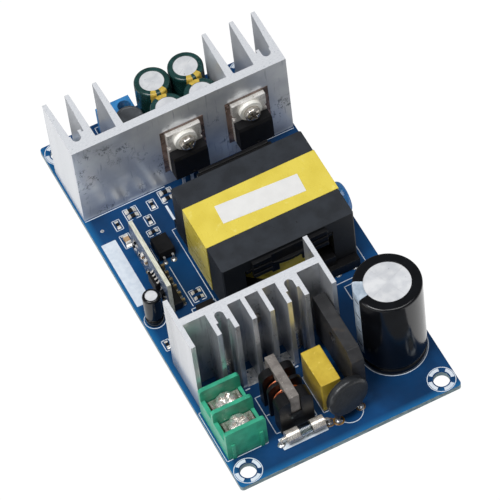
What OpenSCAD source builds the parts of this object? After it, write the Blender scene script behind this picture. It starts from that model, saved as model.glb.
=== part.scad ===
// Open-frame mains power supply module on a blue circuit board.
// Millimetres, +Z up. The origin is on the underside of the board at its centre,
// +Y points to the output end and -Y to the mains end.

/* [Board] */
// Width of the board along X
board_w = 65; // [64:0.5:80]
// Length of the board along Y
board_l = 125; // [120:0.5:150]
// Thickness of the laminate
board_t = 1.6; // [1:0.1:2.4]
// Corner radius of the board
board_r = 1; // [0.5:0.1:3]
// Diameter of the four mounting holes
mount_d = 4.5; // [3:0.1:5]
// Distance of each mounting hole from both edges
mount_edge = 4; // [3.5:0.1:5]
// Diameter of a component lead
lead_d = 0.8; // [0.5:0.05:0.9]
// Length of lead that stands out under the board
lead_tail = 1.4; // [0.5:0.1:1.8]
// Gap around a lead in its hole
hole_play = 0.15; // [0.1:0.05:0.3]

/* [Rear heatsink] */
// Width of the rear heatsink
rear_w = 64; // [62:0.5:72]
// Height of the rear heatsink
rear_h = 31; // [26:0.5:40]
// Depth from the plate's front face to the fin tips
rear_depth = 18.7; // [16:0.1:20]
// Thickness of the rear plate
rear_plate = 2.6; // [2:0.1:3.5]
// Distance of the fin tips from the board's back edge
rear_edge = 9.6; // [8.5:0.1:12]
// Least gap between the rectifiers' screws and the transformer, with room for the chips
rear_gap = 6.7; // [6:0.1:8]
// Distance between the two fins beside the open centre bay
bay_w = 33; // [33:0.5:36]
// Distance from a bay fin to the next fin outwards
rear_pitch = 8.25; // [7.5:0.05:8.8]
// Fin thickness at the tip
fin_tip = 1.2; // [0.8:0.1:1.6]
// Fin thickness at the root
fin_root = 2.2; // [1.6:0.1:2.4]

/* [Screw channels] */
// Width of the channel that a heatsink screw cuts into
slot_w = 2.5; // [2.2:0.1:2.7]
// Metal left between the channel and the plate
slot_floor = 0.7; // [0.4:0.1:1.2]
// Depth of the boss that holds a channel
boss_depth = 3.1; // [2.6:0.1:3.6]
// Size of the small lip beside a channel
lip = 0.9; // [0.5:0.1:1.1]
// Distance of the rear channel axis from the heatsink's end
slot_end = 3.6; // [3.5:0.05:3.9]
// Head diameter of a heatsink screw
sink_head_d = 5.5; // [4.5:0.1:6]
// Head height of a heatsink screw
sink_head_h = 2; // [1.9:0.1:2.6]
// Length of a heatsink screw under its head
sink_screw_l = 9; // [6:0.5:12]
// Gap between a screw and its hole or channel
screw_play = 0.05; // [0.02:0.01:0.1]

/* [Front heatsink] */
// Width of the front heatsink
front_w = 42.1; // [40:0.1:43]
// Height of the front heatsink
front_h = 29.5; // [26:0.5:36]
// Depth of the fins in front of the plate
front_fin = 7.6; // [6.5:0.1:9]
// Thickness of the front plate
front_plate = 2.2; // [1.8:0.1:3]
// Depth of the end walls behind the plate
front_back = 7; // [6.5:0.1:9]
// Thickness of the end walls
front_wall = 1.3; // [1:0.1:1.6]
// Number of fins between the end walls
front_fins = 6; // [4:2:6]
// Distance between neighbouring fins
front_pitch = 5.06; // [4.8:0.02:5.3]
// Thickness of a front fin
front_fin_t = 1.3; // [1:0.1:1.5]
// Distance of the front heatsink from the board's left edge
front_edge = 1.5; // [1:0.1:2]
// Gap between the front heatsink and the parts before it
front_gap = 1; // [0.6:0.1:2]

/* [Power devices] */
// Width of a device and its tab
dev_w = 10.1; // [9.6:0.1:10.6]
// Thickness of the metal tab
tab_t = 1.3; // [1:0.1:1.6]
// Length of the metal tab
tab_l = 16; // [15:0.1:16.5]
// Height of the moulded body
dev_body_h = 9; // [8.5:0.1:9.5]
// Thickness of a device from tab back to body front
dev_body_t = 4.5; // [4:0.1:5]
// Height of the body's lower end above the board
dev_lift = 6.4; // [5:0.1:8]
// Distance of the tab hole from the tab's upper end
tab_hole_in = 3.7; // [3.4:0.1:4]
// Diameter of the tab hole
tab_hole_d = 3.8; // [3.6:0.1:4]
// Distance between the legs of a device
leg_pitch = 2.54; // [2.4:0.01:2.7]
// Distance of the leg plane from the tab's back
leg_plane = 2.6; // [2.2:0.1:2.8]
// Middle of the pair of rectifiers along X
rect_mid = 9.5; // [8:0.5:11]
// Distance between the two rectifiers
rect_pitch = 19.6; // [17:0.1:22]
// Width of an insulating sheet
mica_w = 13; // [12:0.1:14]
// Thickness of an insulating sheet
mica_t = 0.12; // [0.1:0.01:0.3]
// Overlap of an insulating sheet past the tab's ends
mica_over = 0.8; // [0.4:0.1:1.2]
// Flange diameter of a shoulder bush
bush_d = 6.6; // [6:0.1:7]
// Flange thickness of a shoulder bush
bush_t = 1.1; // [0.8:0.1:1.5]
// Thread diameter of a device screw
dev_screw_d = 3; // [2.5:0.1:3]
// Head diameter of a device screw
dev_head_d = 5; // [4.5:0.1:5.6]
// Head height of a device screw
dev_head_h = 2.1; // [1.8:0.1:2.6]

/* [Transformer] */
// Width of the core along X
core_w = 39; // [36:0.5:40]
// Depth of the core along Y
core_d = 31; // [28:0.5:33]
// Height of the closed core
core_h = 19.3; // [18:0.1:22]
// Thickness of the core's top and bottom plates
core_plate = 4.2; // [3.5:0.1:4.8]
// Diameter of the round winding space
core_bore = 35; // [33:0.1:35.5]
// Width of the opening at the front and back
core_open = 26; // [24:0.5:28]
// Diameter of the centre post
post_d = 14.5; // [12:0.1:16]
// Chamfer on the core's upright edges
core_chamfer = 0.4; // [0.2:0.1:2]
// Height of the core above the board
core_lift = 2.2; // [1.8:0.1:3.5]
// Distance of the core from the board's right edge
core_edge = 5.3; // [4.8:0.1:6]
// Least gap between the transformer and the coupler
core_gap = 1; // [0.6:0.1:2]
// Diameter of the finished winding
winding_d = 30.8; // [27:0.1:31.5]
// Wall of the bobbin
bobbin_wall = 1; // [0.8:0.1:1.4]
// Gap between the bobbin and the core
bobbin_play = 0.15; // [0.1:0.05:0.3]
// Depth of a pin rail along Y
rail_d = 2.4; // [2:0.1:3.2]
// Length of a pin rail along X
rail_l = 38; // [36.5:0.5:39]
// Height of a pin rail
rail_h = 3.4; // [3:0.1:4.5]
// Gap between the pin rail and the front heatsink
rail_gap = 2.9; // [0.4:0.1:3.5]
// Number of pins in each row
rail_pins = 8; // [6:1:8]
// Distance between pins
rail_pitch = 5; // [4.5:0.1:5.2]
// Length of the upright lip that carries the wire lugs
lip_l = 22.2; // [20:0.1:24]
// Thickness of the upright lip
lip_t = 0.6; // [0.5:0.1:1]
// Width of a ribbed wire lug
lug_w = 5.6; // [5:0.1:7]
// Depth of a wire lug beyond the upright lip
lug_d = 0.6; // [0.4:0.1:1.2]
// Drop of a wire lug below the lip
lug_drop = 1.5; // [0.5:0.1:2]
// Width of the wire guard beside a lug
guard_w = 2.1; // [1:0.1:3]
// Drop of a wire guard below the lip
guard_drop = 3.4; // [1:0.1:4]
// Width of the tape band round the core
tape_w = 14.4; // [10:0.1:18]
// Thickness of the tape band
tape_t = 0.2; // [0.1:0.05:0.4]
// Offset of the tape band towards the back
tape_shift = 0.7; // [0:0.1:2]
// Length of the label
label_l = 24; // [18:0.5:28]
// Width of the label
label_w = 6.2; // [5:0.1:8]
// Thickness of the label
label_t = 0.1; // [0.05:0.01:0.2]
// Turn of the label in degrees
label_turn = -3.4; // [-6:0.1:6]

/* [Bulk capacitor] */
// Diameter over the sleeve
bulk_d = 18.4; // [16:0.1:20]
// Height above the board
bulk_h = 30.4; // [25:0.1:36]
// Distance between the leads
bulk_pitch = 7.5; // [5:0.1:10]
// Gap between the capacitor and the front heatsink
bulk_gap = 2; // [1.2:0.1:4]
// Distance of the capacitor from the board's front edge
bulk_edge = 10.4; // [9:0.1:12]

/* [Output capacitors] */
// Diameter over the sleeve
out_cap_d = 10; // [8:0.1:10.4]
// Height above the board
out_cap_h = 20; // [16:0.5:25]
// Distance between the leads
out_cap_pitch = 5; // [3.5:0.1:5]
// Gap between neighbouring capacitors
out_cap_gap = 0.2; // [0.1:0.05:0.4]
// Gap between the capacitors and the rear plate
out_cap_off = 1.7; // [1.2:0.1:2.5]

/* [Capacitor sleeves] */
// Thickness of a shrunk sleeve
sleeve_t = 0.2; // [0.1:0.05:0.3]
// Open share of the top that shows the bare can
sleeve_open = 0.69; // [0.6:0.01:0.8]
// Depth of the crimp groove near the foot
crimp = 0.45; // [0.2:0.05:0.6]
// Height of the crimp groove above the foot
crimp_z = 2.4; // [2:0.1:3]
// Rounding of the shoulder
shoulder_r = 0.7; // [0.4:0.1:1]

/* [Supply capacitor] */
// Diameter over the sleeve
small_d = 5; // [4:0.1:5.6]
// Height above the board
small_h = 11.5; // [9:0.1:13]
// Distance between the leads
small_pitch = 2; // [1.5:0.1:2.5]
// Distance of the capacitor from the board's left edge
small_edge = 0.9; // [0.6:0.1:1.2]
// Gap between the capacitor and the front heatsink
small_gap = 12.4; // [10:0.1:14]

/* [Input terminal] */
// Distance between the two poles
in_pitch = 7.62; // [7:0.01:8.2]
// Width of the block along X
in_w = 11.7; // [11:0.1:12.5]
// Height of the dividers
in_h = 11.6; // [10.5:0.1:13]
// Thickness of the dividers
in_wall = 1.2; // [1:0.1:1.4]
// Height of the floor that carries the contacts
in_floor = 4.6; // [4:0.1:5.5]
// Height of the outer low wall
in_low = 7.3; // [6.5:0.1:8]
// Thickness of the inner low wall
in_post = 1; // [0.8:0.1:1.2]
// Height of the inner low wall
in_post_h = 6.2; // [5.6:0.1:7]
// Corner radius of the dividers
in_round = 1; // [0.5:0.1:1.5]
// Distance of the block from the board's left edge
in_edge = 1; // [0.8:0.1:1.4]
// Distance of the block from the board's front edge
in_front = 9.3; // [8.8:0.1:10]
// Thickness of a contact plate
plate_t = 0.8; // [0.6:0.1:1]
// Thickness of a clamp washer
clamp_t = 1.4; // [0.6:0.1:1.6]
// Gap between metal pieces and the plastic round them
clamp_play = 0.25; // [0.15:0.05:0.4]
// Wall of the tapped boss under a contact plate
boss_wall = 0.4; // [0.3:0.05:0.5]
// Thread diameter of a clamp screw
in_screw_d = 3; // [2.5:0.1:3.2]
// Head diameter of a clamp screw
in_head_d = 5.8; // [5:0.1:5.8]
// Head height of a clamp screw
in_head_h = 2.5; // [1.8:0.1:2.6]

/* [Output terminal] */
// Distance between the two poles
out_pitch = 5; // [4.8:0.02:5.1]
// Depth of the block along Y
out_d = 6.9; // [6.5:0.1:8]
// Height of the block
out_h = 9.6; // [9:0.1:12]
// Diameter of the screw wells
well_d = 3.7; // [3.4:0.1:4]
// Distance of the wells from the block's wire side
well_in = 2.9; // [2.6:0.1:3.2]
// Width of a wire entry
entry_w = 3.6; // [3:0.1:3.8]
// Height of a wire entry
entry_h = 4; // [3.4:0.1:4.2]
// Height of the wire entries above the board
entry_z = 1.6; // [1.2:0.1:2]
// Diameter of an output screw
out_screw_d = 3; // [2.6:0.1:3.2]
// Gap between the output terminal and its neighbours
out_gap = 0.3; // [0.2:0.1:0.8]
// Distance of the output terminal from the board's back edge
out_edge = 2.3; // [1.5:0.1:3]

/* [Choke] */
// Length of the choke core along Y
choke_l = 15.2; // [14:0.1:16]
// Height of the choke core
choke_h = 13.5; // [12.5:0.1:15]
// Thickness of every bar of the choke core
choke_bar = 2.7; // [2.4:0.1:2.9]
// Width of the bobbin flanges
choke_flange = 9.8; // [9:0.1:11]
// Height of the bobbin flanges
choke_flange_h = 11.9; // [11:0.1:12.4]
// Skin of the front cheek over the lower half of the core's end
choke_lip = 0.35; // [0.3:0.05:0.5]
// Thickness of the back cheek
choke_back = 2.4; // [1.5:0.1:3]
// Gap between the cheeks and the board
choke_foot = 0.2; // [0.1:0.1:0.5]
// Thickness of the flange walls inside the core
flange_web = 0.6; // [0.5:0.1:0.8]
// Thickness of the middle flange
mid_flange_t = 1; // [0.8:0.1:1.4]
// Wall of the sleeve round the middle bar
choke_sleeve = 0.6; // [0.4:0.1:0.7]
// Gap between the choke's bobbin and its core
choke_play = 0.15; // [0.1:0.05:0.2]
// Width of the finished windings
choke_wind_w = 8.4; // [7.5:0.1:9]
// Distance between the choke's pins along X
choke_pins = 7.4; // [6.5:0.1:8]
// Turns shown in each winding
choke_turns = 4; // [3:1:5]
// Gap between the choke and the input terminal
choke_gap = 3.95; // [3:0.05:4.6]
// Height of the choke core above the board
choke_lift = 0.6; // [0.4:0.1:1]

/* [Film capacitor] */
// Width of the film capacitor
film_w = 5.6; // [5:0.1:6]
// Length of the film capacitor
film_l = 12; // [11:0.1:13.5]
// Height of the film capacitor
film_h = 12; // [10:0.1:14]
// Distance between its leads
film_pitch = 10; // [7.5:0.1:10]
// Gap between the film capacitor and the choke
film_gap = 3.05; // [1.6:0.05:3.4]
// Distance of its front face behind the choke's front
film_step = 1; // [0.5:0.1:1.2]

/* [Bridge rectifier] */
// Thickness of the bridge
bridge_t = 3.6; // [3.2:0.1:4]
// Length of the bridge
bridge_l = 22; // [20:0.1:22.6]
// Height of the bridge body
bridge_h = 17; // [15:0.1:19]
// Height of the body above the board
bridge_lift = 3; // [2:0.1:4]
// Distance between its leads
bridge_pitch = 5.08; // [4.8:0.01:5.4]
// Diameter of the hole through the body
bridge_hole = 3.4; // [3:0.1:4]
// Chamfer that marks one upper corner
bridge_chamfer = 2.6; // [1.5:0.1:3.5]
// Gap between the bridge and the heatsink's end wall
bridge_gap = 0.4; // [0.3:0.1:0.8]
// Gap between the bridge and the front plate
bridge_back = 2.9; // [2.5:0.1:4]

/* [Inrush limiter] */
// Diameter of the disc
disc_d = 12.4; // [10:0.1:13]
// Thickness of the disc
disc_t = 3; // [2.4:0.1:3.4]
// Height of the disc's middle above the board
disc_z = 8.9; // [8:0.1:11]
// Lean of the disc towards the back in degrees
disc_lean = 4; // [0:1:8]
// Turn of the disc about the upright in degrees
disc_turn = 9; // [0:1:12]
// Distance between its leads
disc_pitch = 7; // [5:0.1:7.5]
// Distance of its leads from the board's front edge
disc_edge = 6.6; // [5.5:0.1:6.8]
// Offset of the disc from the middle of the film capacitor
disc_shift = 2.7; // [1.8:0.1:3.2]

/* [Fuse] */
// Diameter of the end caps
fuse_d = 3.6; // [3:0.1:3.9]
// Length over the end caps
fuse_l = 11; // [10:0.1:12]
// Length of one cap
fuse_cap = 3.7; // [2.5:0.1:4]
// Distance between the leads
fuse_pitch = 14; // [13.6:0.1:15]
// Height of the fuse above the board
fuse_lift = 0.4; // [0.2:0.1:0.8]
// Gap between the fuse and the choke
fuse_gap = 0.8; // [0.6:0.1:1.5]
// Offset of the fuse from the middle of the choke
fuse_shift = 0.6; // [0:0.1:1]
// Wall of the glass tube
fuse_glass = 0.4; // [0.3:0.05:0.6]
// Metal thickness of the end caps
fuse_metal = 0.25; // [0.2:0.05:0.35]

/* [Small parts] */
// Diameter of the safety disc capacitor
safety_d = 9.4; // [8:0.1:10]
// Thickness of the safety disc capacitor
safety_t = 3.6; // [3:0.1:4]
// Height of the safety disc's middle above the board
safety_z = 9; // [7:0.1:10]
// Distance between the leads of the safety disc
safety_pitch = 7.5; // [5:0.1:7.5]
// Gap between the safety disc and the transformer
safety_gap = 0.4; // [0.3:0.1:1]
// Offset of the safety disc from the transformer's middle
safety_shift = -1.5; // [-3:0.1:0]
// Diameter of the output inductor
coil_d = 7.8; // [7:0.1:8]
// Height of the output inductor
coil_h = 15.5; // [12:0.1:18]
// Distance between the leads of the output inductor
coil_pitch = 4; // [3:0.1:5]

/* [Control board] */
// Length of the upright control board along Y
ctrl_l = 24; // [22:0.1:26]
// Height of the control board
ctrl_h = 13; // [11:0.1:15]
// Thickness of the control board
ctrl_t = 1.2; // [0.8:0.1:1.4]
// Distance of the control board from the left edge
ctrl_edge = 8; // [7.6:0.1:8.3]
// Gap between the control board and the front heatsink
ctrl_gap = 14.3; // [13:0.1:16]
// Number of header pins
header_pins_n = 6; // [4:1:7]
// Distance between header pins
header_pitch = 2.54; // [2.4:0.01:2.6]
// Width of a square header pin
pin_w = 0.64; // [0.5:0.01:0.7]
// Width and height of the header strip
header_w = 2.5; // [2.2:0.1:2.8]
// Distance of the pin bends from the header strip
header_reach = 0.8; // [0.6:0.1:1.1]
// Height of the pins above the main board
header_z = 2; // [1.8:0.1:2.4]
// Width of the coupler body
coupler_w = 4.6; // [4.2:0.1:4.8]
// Length of the coupler body
coupler_l = 6.4; // [6:0.1:6.8]
// Height of the coupler body
coupler_h = 3.4; // [3:0.1:3.8]
// Distance between the leg rows of the coupler
coupler_row = 7.62; // [7.4:0.02:8]
// Distance of the coupler's middle from the control board
coupler_off = 5.9; // [5.6:0.1:6.2]
// Offset of the coupler from the control board's middle
coupler_shift = 7.45; // [7.2:0.05:8]
// Height of the coupler above the main board
coupler_lift = 0.4; // [0.2:0.1:0.6]

/* [Hidden] */
$fn = 48;
eps = 0.01;
over = 1;

// Faces and edges of the board
top = board_t;
left_edge = -board_w / 2;
right_edge = board_w / 2;
front_y = -board_l / 2;
back_y = board_l / 2;
mount_points = [for (sx = [-1, 1], sy = [-1, 1])
    [sx * (board_w / 2 - mount_edge), sy * (board_l / 2 - mount_edge)]];

// Input terminal
in_x0 = left_edge + in_edge;
in_x1 = in_x0 + in_w;
in_l = 2 * in_pitch + in_wall;
in_y0 = front_y + in_front;
in_y1 = in_y0 + in_l;
in_bay = in_pitch - in_wall;
in_poles = [for (i = [0, 1]) in_y0 + in_wall / 2 + in_pitch * (i + 0.5)];
in_pocket_x = in_x0 + in_wall;
in_pocket = in_w - in_wall - in_post;
in_mid = in_pocket_x + in_pocket / 2;

// Fuse, choke and film capacitor, from front to back
fuse_y = in_y0 - fuse_gap - fuse_d / 2;
fuse_axis = top + fuse_lift + fuse_d / 2;
choke_x = in_x1 + choke_gap + choke_flange / 2;
choke_y0 = fuse_y + fuse_d / 2 + fuse_gap;
choke_y = choke_y0 + choke_l / 2;
choke_z = top + choke_lift + choke_h / 2;
choke_win = (choke_h - 3 * choke_bar) / 2;
choke_slot = choke_bar + 2 * choke_play;
choke_tube = choke_slot + 2 * choke_sleeve;
choke_core_y = choke_y0 + choke_lip;
choke_core_l = choke_l - choke_lip - choke_play;
choke_front = choke_core_y + choke_bar + choke_play + flange_web;
choke_rear = choke_y0 + choke_l - choke_bar - choke_play;
choke_room = (choke_rear - choke_back - choke_front - mid_flange_t) / 2;
fuse_x = choke_x + fuse_shift;
film_x = choke_x + choke_flange / 2 + film_gap + film_w / 2;
film_y0 = choke_y0 + film_step;
film_y = film_y0 + film_l / 2;

// Front heatsink
sink_y0 = max(in_y1, choke_y0 + choke_l) + front_gap;
sink_x0 = left_edge + front_edge;
sink_x = sink_x0 + front_w / 2;
sink_x1 = sink_x0 + front_w;
sink_plate_y = sink_y0 + front_fin;
sink_plate_back = sink_plate_y + front_plate;
sink_y1 = sink_plate_back + front_back;
sink_fin_x = [for (i = [0 : front_fins - 1]) sink_x + (i - (front_fins - 1) / 2) * front_pitch];
sink_slot_x = [(sink_fin_x[0] + sink_fin_x[1]) / 2,
               (sink_fin_x[front_fins - 2] + sink_fin_x[front_fins - 1]) / 2];
fin_inset = 0.2;

// Control group beside the transformer
ctrl_x = left_edge + ctrl_edge;
ctrl_y = sink_y1 + ctrl_gap + ctrl_l / 2;
ctrl_foot = 0.4;
pin_z = top + header_z;
header_x = ctrl_x + ctrl_t + header_w / 2;
header_y = ctrl_y - ctrl_l / 2 + header_pins_n * header_pitch / 2;
pin_bend_x = header_x + header_w / 2 + header_reach;
pin_tail = 0.5;
coupler_x = ctrl_x + ctrl_t + coupler_off;
coupler_y = ctrl_y + coupler_shift;
coupler_z = top + coupler_lift;
coupler_leg_t = 0.25;
coupler_leg_w = 0.6;
small_x = left_edge + small_edge + small_d / 2;
small_y = sink_y1 + small_gap + small_d / 2;

// Transformer
coupler_x1 = coupler_x + coupler_w / 2;
tr_x = max(right_edge - core_edge - core_w / 2, coupler_x1 + core_gap + tape_t + core_w / 2);
rail_y0 = sink_y1 + rail_gap;
tr_y = rail_y0 + rail_d + bobbin_play + core_d / 2;
core_z = top + core_lift;
core_mid = core_z + core_h / 2;
core_top = core_z + core_h;
window_h = core_h - 2 * core_plate;
pin_inset = 0.7;
rail_y = core_d / 2 + bobbin_play + rail_d - pin_inset;
rail_foot = 0.3;
flange_d = core_bore - 4 * bobbin_play;
barrel_d = post_d + 2 * bobbin_play + 2 * bobbin_wall;
lip_h = core_plate * 0.85;
lug_ribs = 3;
pin_depth = 2.5;

// Rear heatsink
screw_stack = mica_t + tab_t + bush_t + dev_head_h;
tr_back = tr_y + core_d / 2 + bobbin_play + rail_d;
rear_y = max(back_y - rear_edge - rear_depth, tr_back + rear_gap + screw_stack);
rear_back = rear_y + rear_plate;
bay_fin = bay_w / 2;
mid_fin = bay_fin + rear_pitch;
rear_slot_x = rear_w / 2 - slot_end;
slot_axis = slot_floor + slot_w / 2;
sink_screw_d = slot_w - 2 * screw_play;
sink_screw_points = concat(
    [for (s = [-1, 1]) [s * rear_slot_x, rear_back + slot_axis]],
    [for (x = sink_slot_x) [x, sink_plate_y - slot_axis]]);

// Power devices: place, side of the plate and plate face
tab_hole_z = dev_lift + tab_l - tab_hole_in;
rect_x = [rect_mid - rect_pitch / 2, rect_mid + rect_pitch / 2];
rect_back = rear_y - mica_t;
fet_x = sink_x;
fet_back = sink_plate_back + mica_t;
dev_screw_l = bush_t + tab_t + mica_t + max(rear_plate, front_plate) + over;
leg_w = lead_d;
leg_t = 0.5;
leg_wide = 1.3;
leg_wide_l = 2.6;
bush_bore = dev_screw_d + 4 * screw_play;

// Bulk capacitor and its neighbours
bulk_x = sink_x1 + bulk_gap + bulk_d / 2;
bulk_y = front_y + bulk_edge + bulk_d / 2;
bridge_x = sink_x1 - front_wall - bridge_gap - bridge_t / 2;
bridge_y1 = sink_plate_y - bridge_back;
bridge_y = bridge_y1 - bridge_l / 2;
bridge_z0 = top + bridge_lift;
disc_x = film_x + disc_shift;
disc_y = front_y + disc_edge;
disc_zc = top + disc_z;

// Output end
cap_pitch = out_cap_d + out_cap_gap;
cap_x1 = bay_fin - fin_root / 2 - out_cap_gap - out_cap_d / 2;
cap_y0 = rear_back + out_cap_off + out_cap_d / 2;
cap_points = [for (j = [0, 1], i = [0, 1]) [cap_x1 - (1 - i) * cap_pitch, cap_y0 + j * cap_pitch]];
cap_left = cap_x1 - cap_pitch - out_cap_d / 2;
out_w = 2 * out_pitch;
out_x = cap_left - out_gap - out_w / 2;
out_y0 = max(back_y - out_edge - out_d, rear_back + out_cap_off + coil_d + out_gap);
out_y1 = out_y0 + out_d;
out_poles = [for (s = [-1, 1]) out_x + s * out_pitch / 2];
well_y = out_y1 - well_in;
out_back = 1.4;
cage_t = 0.5;
cage_play = 0.1;
cage_d = out_d - out_back - well_in / 3;
coil_x = cap_left - 2 * out_gap - coil_d / 2;
coil_y = out_y0 - out_gap - coil_d / 2;
safety_x = tr_x + core_w / 2 + tape_t + safety_gap + safety_t / 2;
safety_y = tr_y + safety_shift;

// Chip sizes: length, width and height
resistor = [1.6, 0.8, 0.5];
ceramic = [1.6, 0.9, 0.8];
ceramic_large = [2.6, 1.6, 1.1];
small_outline = [2.9, 1.4, 1.1];
diode_block = [5, 3.6, 2.2];
driver = [4.9, 3.9, 1.5];
// Chips on the main board: place from the middle of the control board, turn and size
chips = [
    [-0.7, 21.2, 90, resistor], [-0.7, 15.3, 90, ceramic_large], [4.3, 22.9, 0, small_outline],
    [10.4, 22.7, 90, resistor], [7.5, 18.4, 90, resistor], [6.8, 14.4, 0, resistor],
    [8.2, -10.9, 0, resistor], [8.2, -8.9, 0, resistor], [8.2, -15.8, 0, diode_block],
    [-5.9, -20.4, 90, resistor]
];
// Chips on the left face of the control board: place from its middle and size
ctrl_chips = [
    [-4.5, -0.5, driver], [1.3, 1.4, ceramic], [3.4, 1.4, ceramic], [5.8, -1.5, resistor],
    [8.2, 1.2, resistor], [9.6, -2.2, resistor], [-9, -0.6, small_outline], [0.4, -3.2, resistor]
];

// Lead places on the board, by part
function pair_x(x, y, p) = [[x - p / 2, y], [x + p / 2, y]];
function pair_y(x, y, p) = [[x, y - p / 2], [x, y + p / 2]];
function legs_at(x, y) = [for (i = [-1 : 1]) [x + i * leg_pitch, y]];
bulk_leads = pair_x(bulk_x, bulk_y, bulk_pitch);
out_cap_leads = [for (p = cap_points) each pair_x(p[0], p[1], out_cap_pitch)];
small_leads = pair_x(small_x, small_y, small_pitch);
film_leads = pair_y(film_x, film_y, film_pitch);
disc_leads = [for (s = [-1, 1]) [disc_x + s * disc_pitch / 2 * cos(disc_turn),
    disc_y + s * disc_pitch / 2 * sin(disc_turn)]];
fuse_leads = pair_x(fuse_x, fuse_y, fuse_pitch);
safety_leads = pair_y(safety_x, safety_y, safety_pitch);
coil_leads = pair_x(coil_x, coil_y, coil_pitch);
bridge_leads_at = [for (i = [0 : 3]) [bridge_x, bridge_y + (i - 1.5) * bridge_pitch]];
choke_leads = [for (s = [-1, 1], y = [(choke_y0 + choke_front) / 2, choke_rear - choke_back / 2])
    [choke_x + s * choke_pins / 2, y]];
coupler_leads = [for (sx = [-1, 1], sy = [-1, 1])
    [coupler_x + sx * leg_pitch / 2, coupler_y + sy * coupler_row / 2]];
header_leads = [for (i = [0 : header_pins_n - 1])
    [pin_bend_x, header_y + (i - (header_pins_n - 1) / 2) * header_pitch]];
tr_leads = [for (s = [-1, 1], i = [0 : rail_pins - 1])
    [tr_x + (i - (rail_pins - 1) / 2) * rail_pitch, tr_y + s * rail_y]];
in_leads = [for (y = in_poles) [in_mid, y]];
out_leads = [for (x = out_poles) [x, well_y]];
device_leads = concat(legs_at(rect_x[0], rect_back - leg_plane),
    legs_at(rect_x[1], rect_back - leg_plane), legs_at(fet_x, fet_back + leg_plane));
can_leads = concat(bulk_leads, out_cap_leads, small_leads);
box_leads = concat(film_leads, coil_leads);
all_leads = concat(can_leads, box_leads, disc_leads, safety_leads, fuse_leads, bridge_leads_at,
    choke_leads, coupler_leads, header_leads, tr_leads, in_leads, out_leads, device_leads);

// Flat outline with rounded corners, centred
module rounded_rect(w, l, r) {
    square([w - 2 * r, l], center = true);
    square([w, l - 2 * r], center = true);
    for (sx = [-1, 1], sy = [-1, 1])
        translate([sx * (w / 2 - r), sy * (l / 2 - r)]) circle(r = r);
}

// Block on the XY plane with rounded upright edges
module rounded_block(w, l, h, r) {
    linear_extrude(h) rounded_rect(w, l, r);
}

// Flat outline with chamfered corners, centred
module chamfered_rect(w, l, c) {
    polygon([
        [w / 2 - c, -l / 2], [w / 2, c - l / 2], [w / 2, l / 2 - c], [w / 2 - c, l / 2],
        [c - w / 2, l / 2], [-w / 2, l / 2 - c], [-w / 2, c - l / 2], [c - w / 2, -l / 2]
    ]);
}

// Straight lead through the board, up to height z
module lead(p, z, d = lead_d) {
    translate([p[0], p[1], -lead_tail]) cylinder(d = d, h = z + lead_tail);
}

// Cross recess sunk into a screw head, from z = 0 downwards
module cross_recess(d, depth) {
    arm = d * 0.52;
    slit = d * 0.13;
    for (a = [0, 90]) rotate(a)
        translate([-arm / 2, -slit / 2, -depth]) cube([arm, slit, depth + over]);
}

// Screw that points down, with the underside of its head at z = 0
module pan_screw(d, head_d, head_h, l) {
    difference() {
        union() {
            rotate_extrude() {
                square([head_d / 2, head_h * 0.6]);
                square([head_d / 2 - head_h * 0.4, head_h]);
                intersection() {
                    translate([head_d / 2 - head_h * 0.4, head_h * 0.6]) circle(r = head_h * 0.4);
                    square([head_d / 2, head_h]);
                }
            }
            translate([0, 0, -l]) cylinder(d = d, h = l);
        }
        translate([0, 0, head_h]) cross_recess(head_d, head_h * 0.55);
    }
}

// Board with its mounting, screw and lead holes
module circuit_board() {
    color("#14538f") linear_extrude(board_t) difference() {
        rounded_rect(board_w, board_l, board_r);
        for (p = mount_points) translate(p) circle(d = mount_d);
        for (p = sink_screw_points) translate(p) circle(d = sink_screw_d + 2 * hole_play);
        for (p = all_leads) translate(p) circle(d = lead_d + 2 * hole_play);
    }
}

// Channel for a heatsink screw, seen from its floor, open along +Y
module channel() {
    translate([0, slot_axis]) {
        circle(d = slot_w);
        translate([-slot_w / 2, 0]) square([slot_w, boss_depth + lip + over]);
    }
}

// Section of the rear heatsink: plate, tapered fins and two screw channels
module rear_section() {
    difference() {
        union() {
            translate([-rear_w / 2, 0]) square([rear_w, rear_plate]);
            for (m = [0, 1]) mirror([m, 0]) {
                polygon([[rear_w / 2, 0], [rear_w / 2, rear_depth], [rear_w / 2 - fin_tip, rear_depth],
                    [rear_w / 2 - fin_root, rear_plate], [rear_w / 2 - fin_root, 0]]);
                for (x = [bay_fin, mid_fin])
                    polygon([[x + fin_root / 2, 0], [x + fin_root / 2, rear_plate],
                        [x + fin_tip / 2, rear_depth], [x - fin_tip / 2, rear_depth],
                        [x - fin_root / 2, rear_plate], [x - fin_root / 2, 0]]);
                translate([mid_fin, rear_plate]) square([rear_w / 2 - mid_fin, boss_depth]);
                translate([rear_slot_x - slot_w / 2 - lip, rear_plate]) square([lip, boss_depth + lip]);
            }
        }
        for (m = [0, 1]) mirror([m, 0]) translate([rear_slot_x, rear_plate]) channel();
    }
}

// Rear heatsink with the tapped holes for the two rectifiers
module rear_heatsink() {
    color("#b9bdc6") translate([0, rear_y, top]) difference() {
        linear_extrude(rear_h) rear_section();
        for (x = rect_x) translate([x, -over, tab_hole_z]) rotate([-90, 0, 0])
            cylinder(d = dev_screw_d + 2 * screw_play, h = rear_plate + 2 * over);
    }
}

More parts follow.
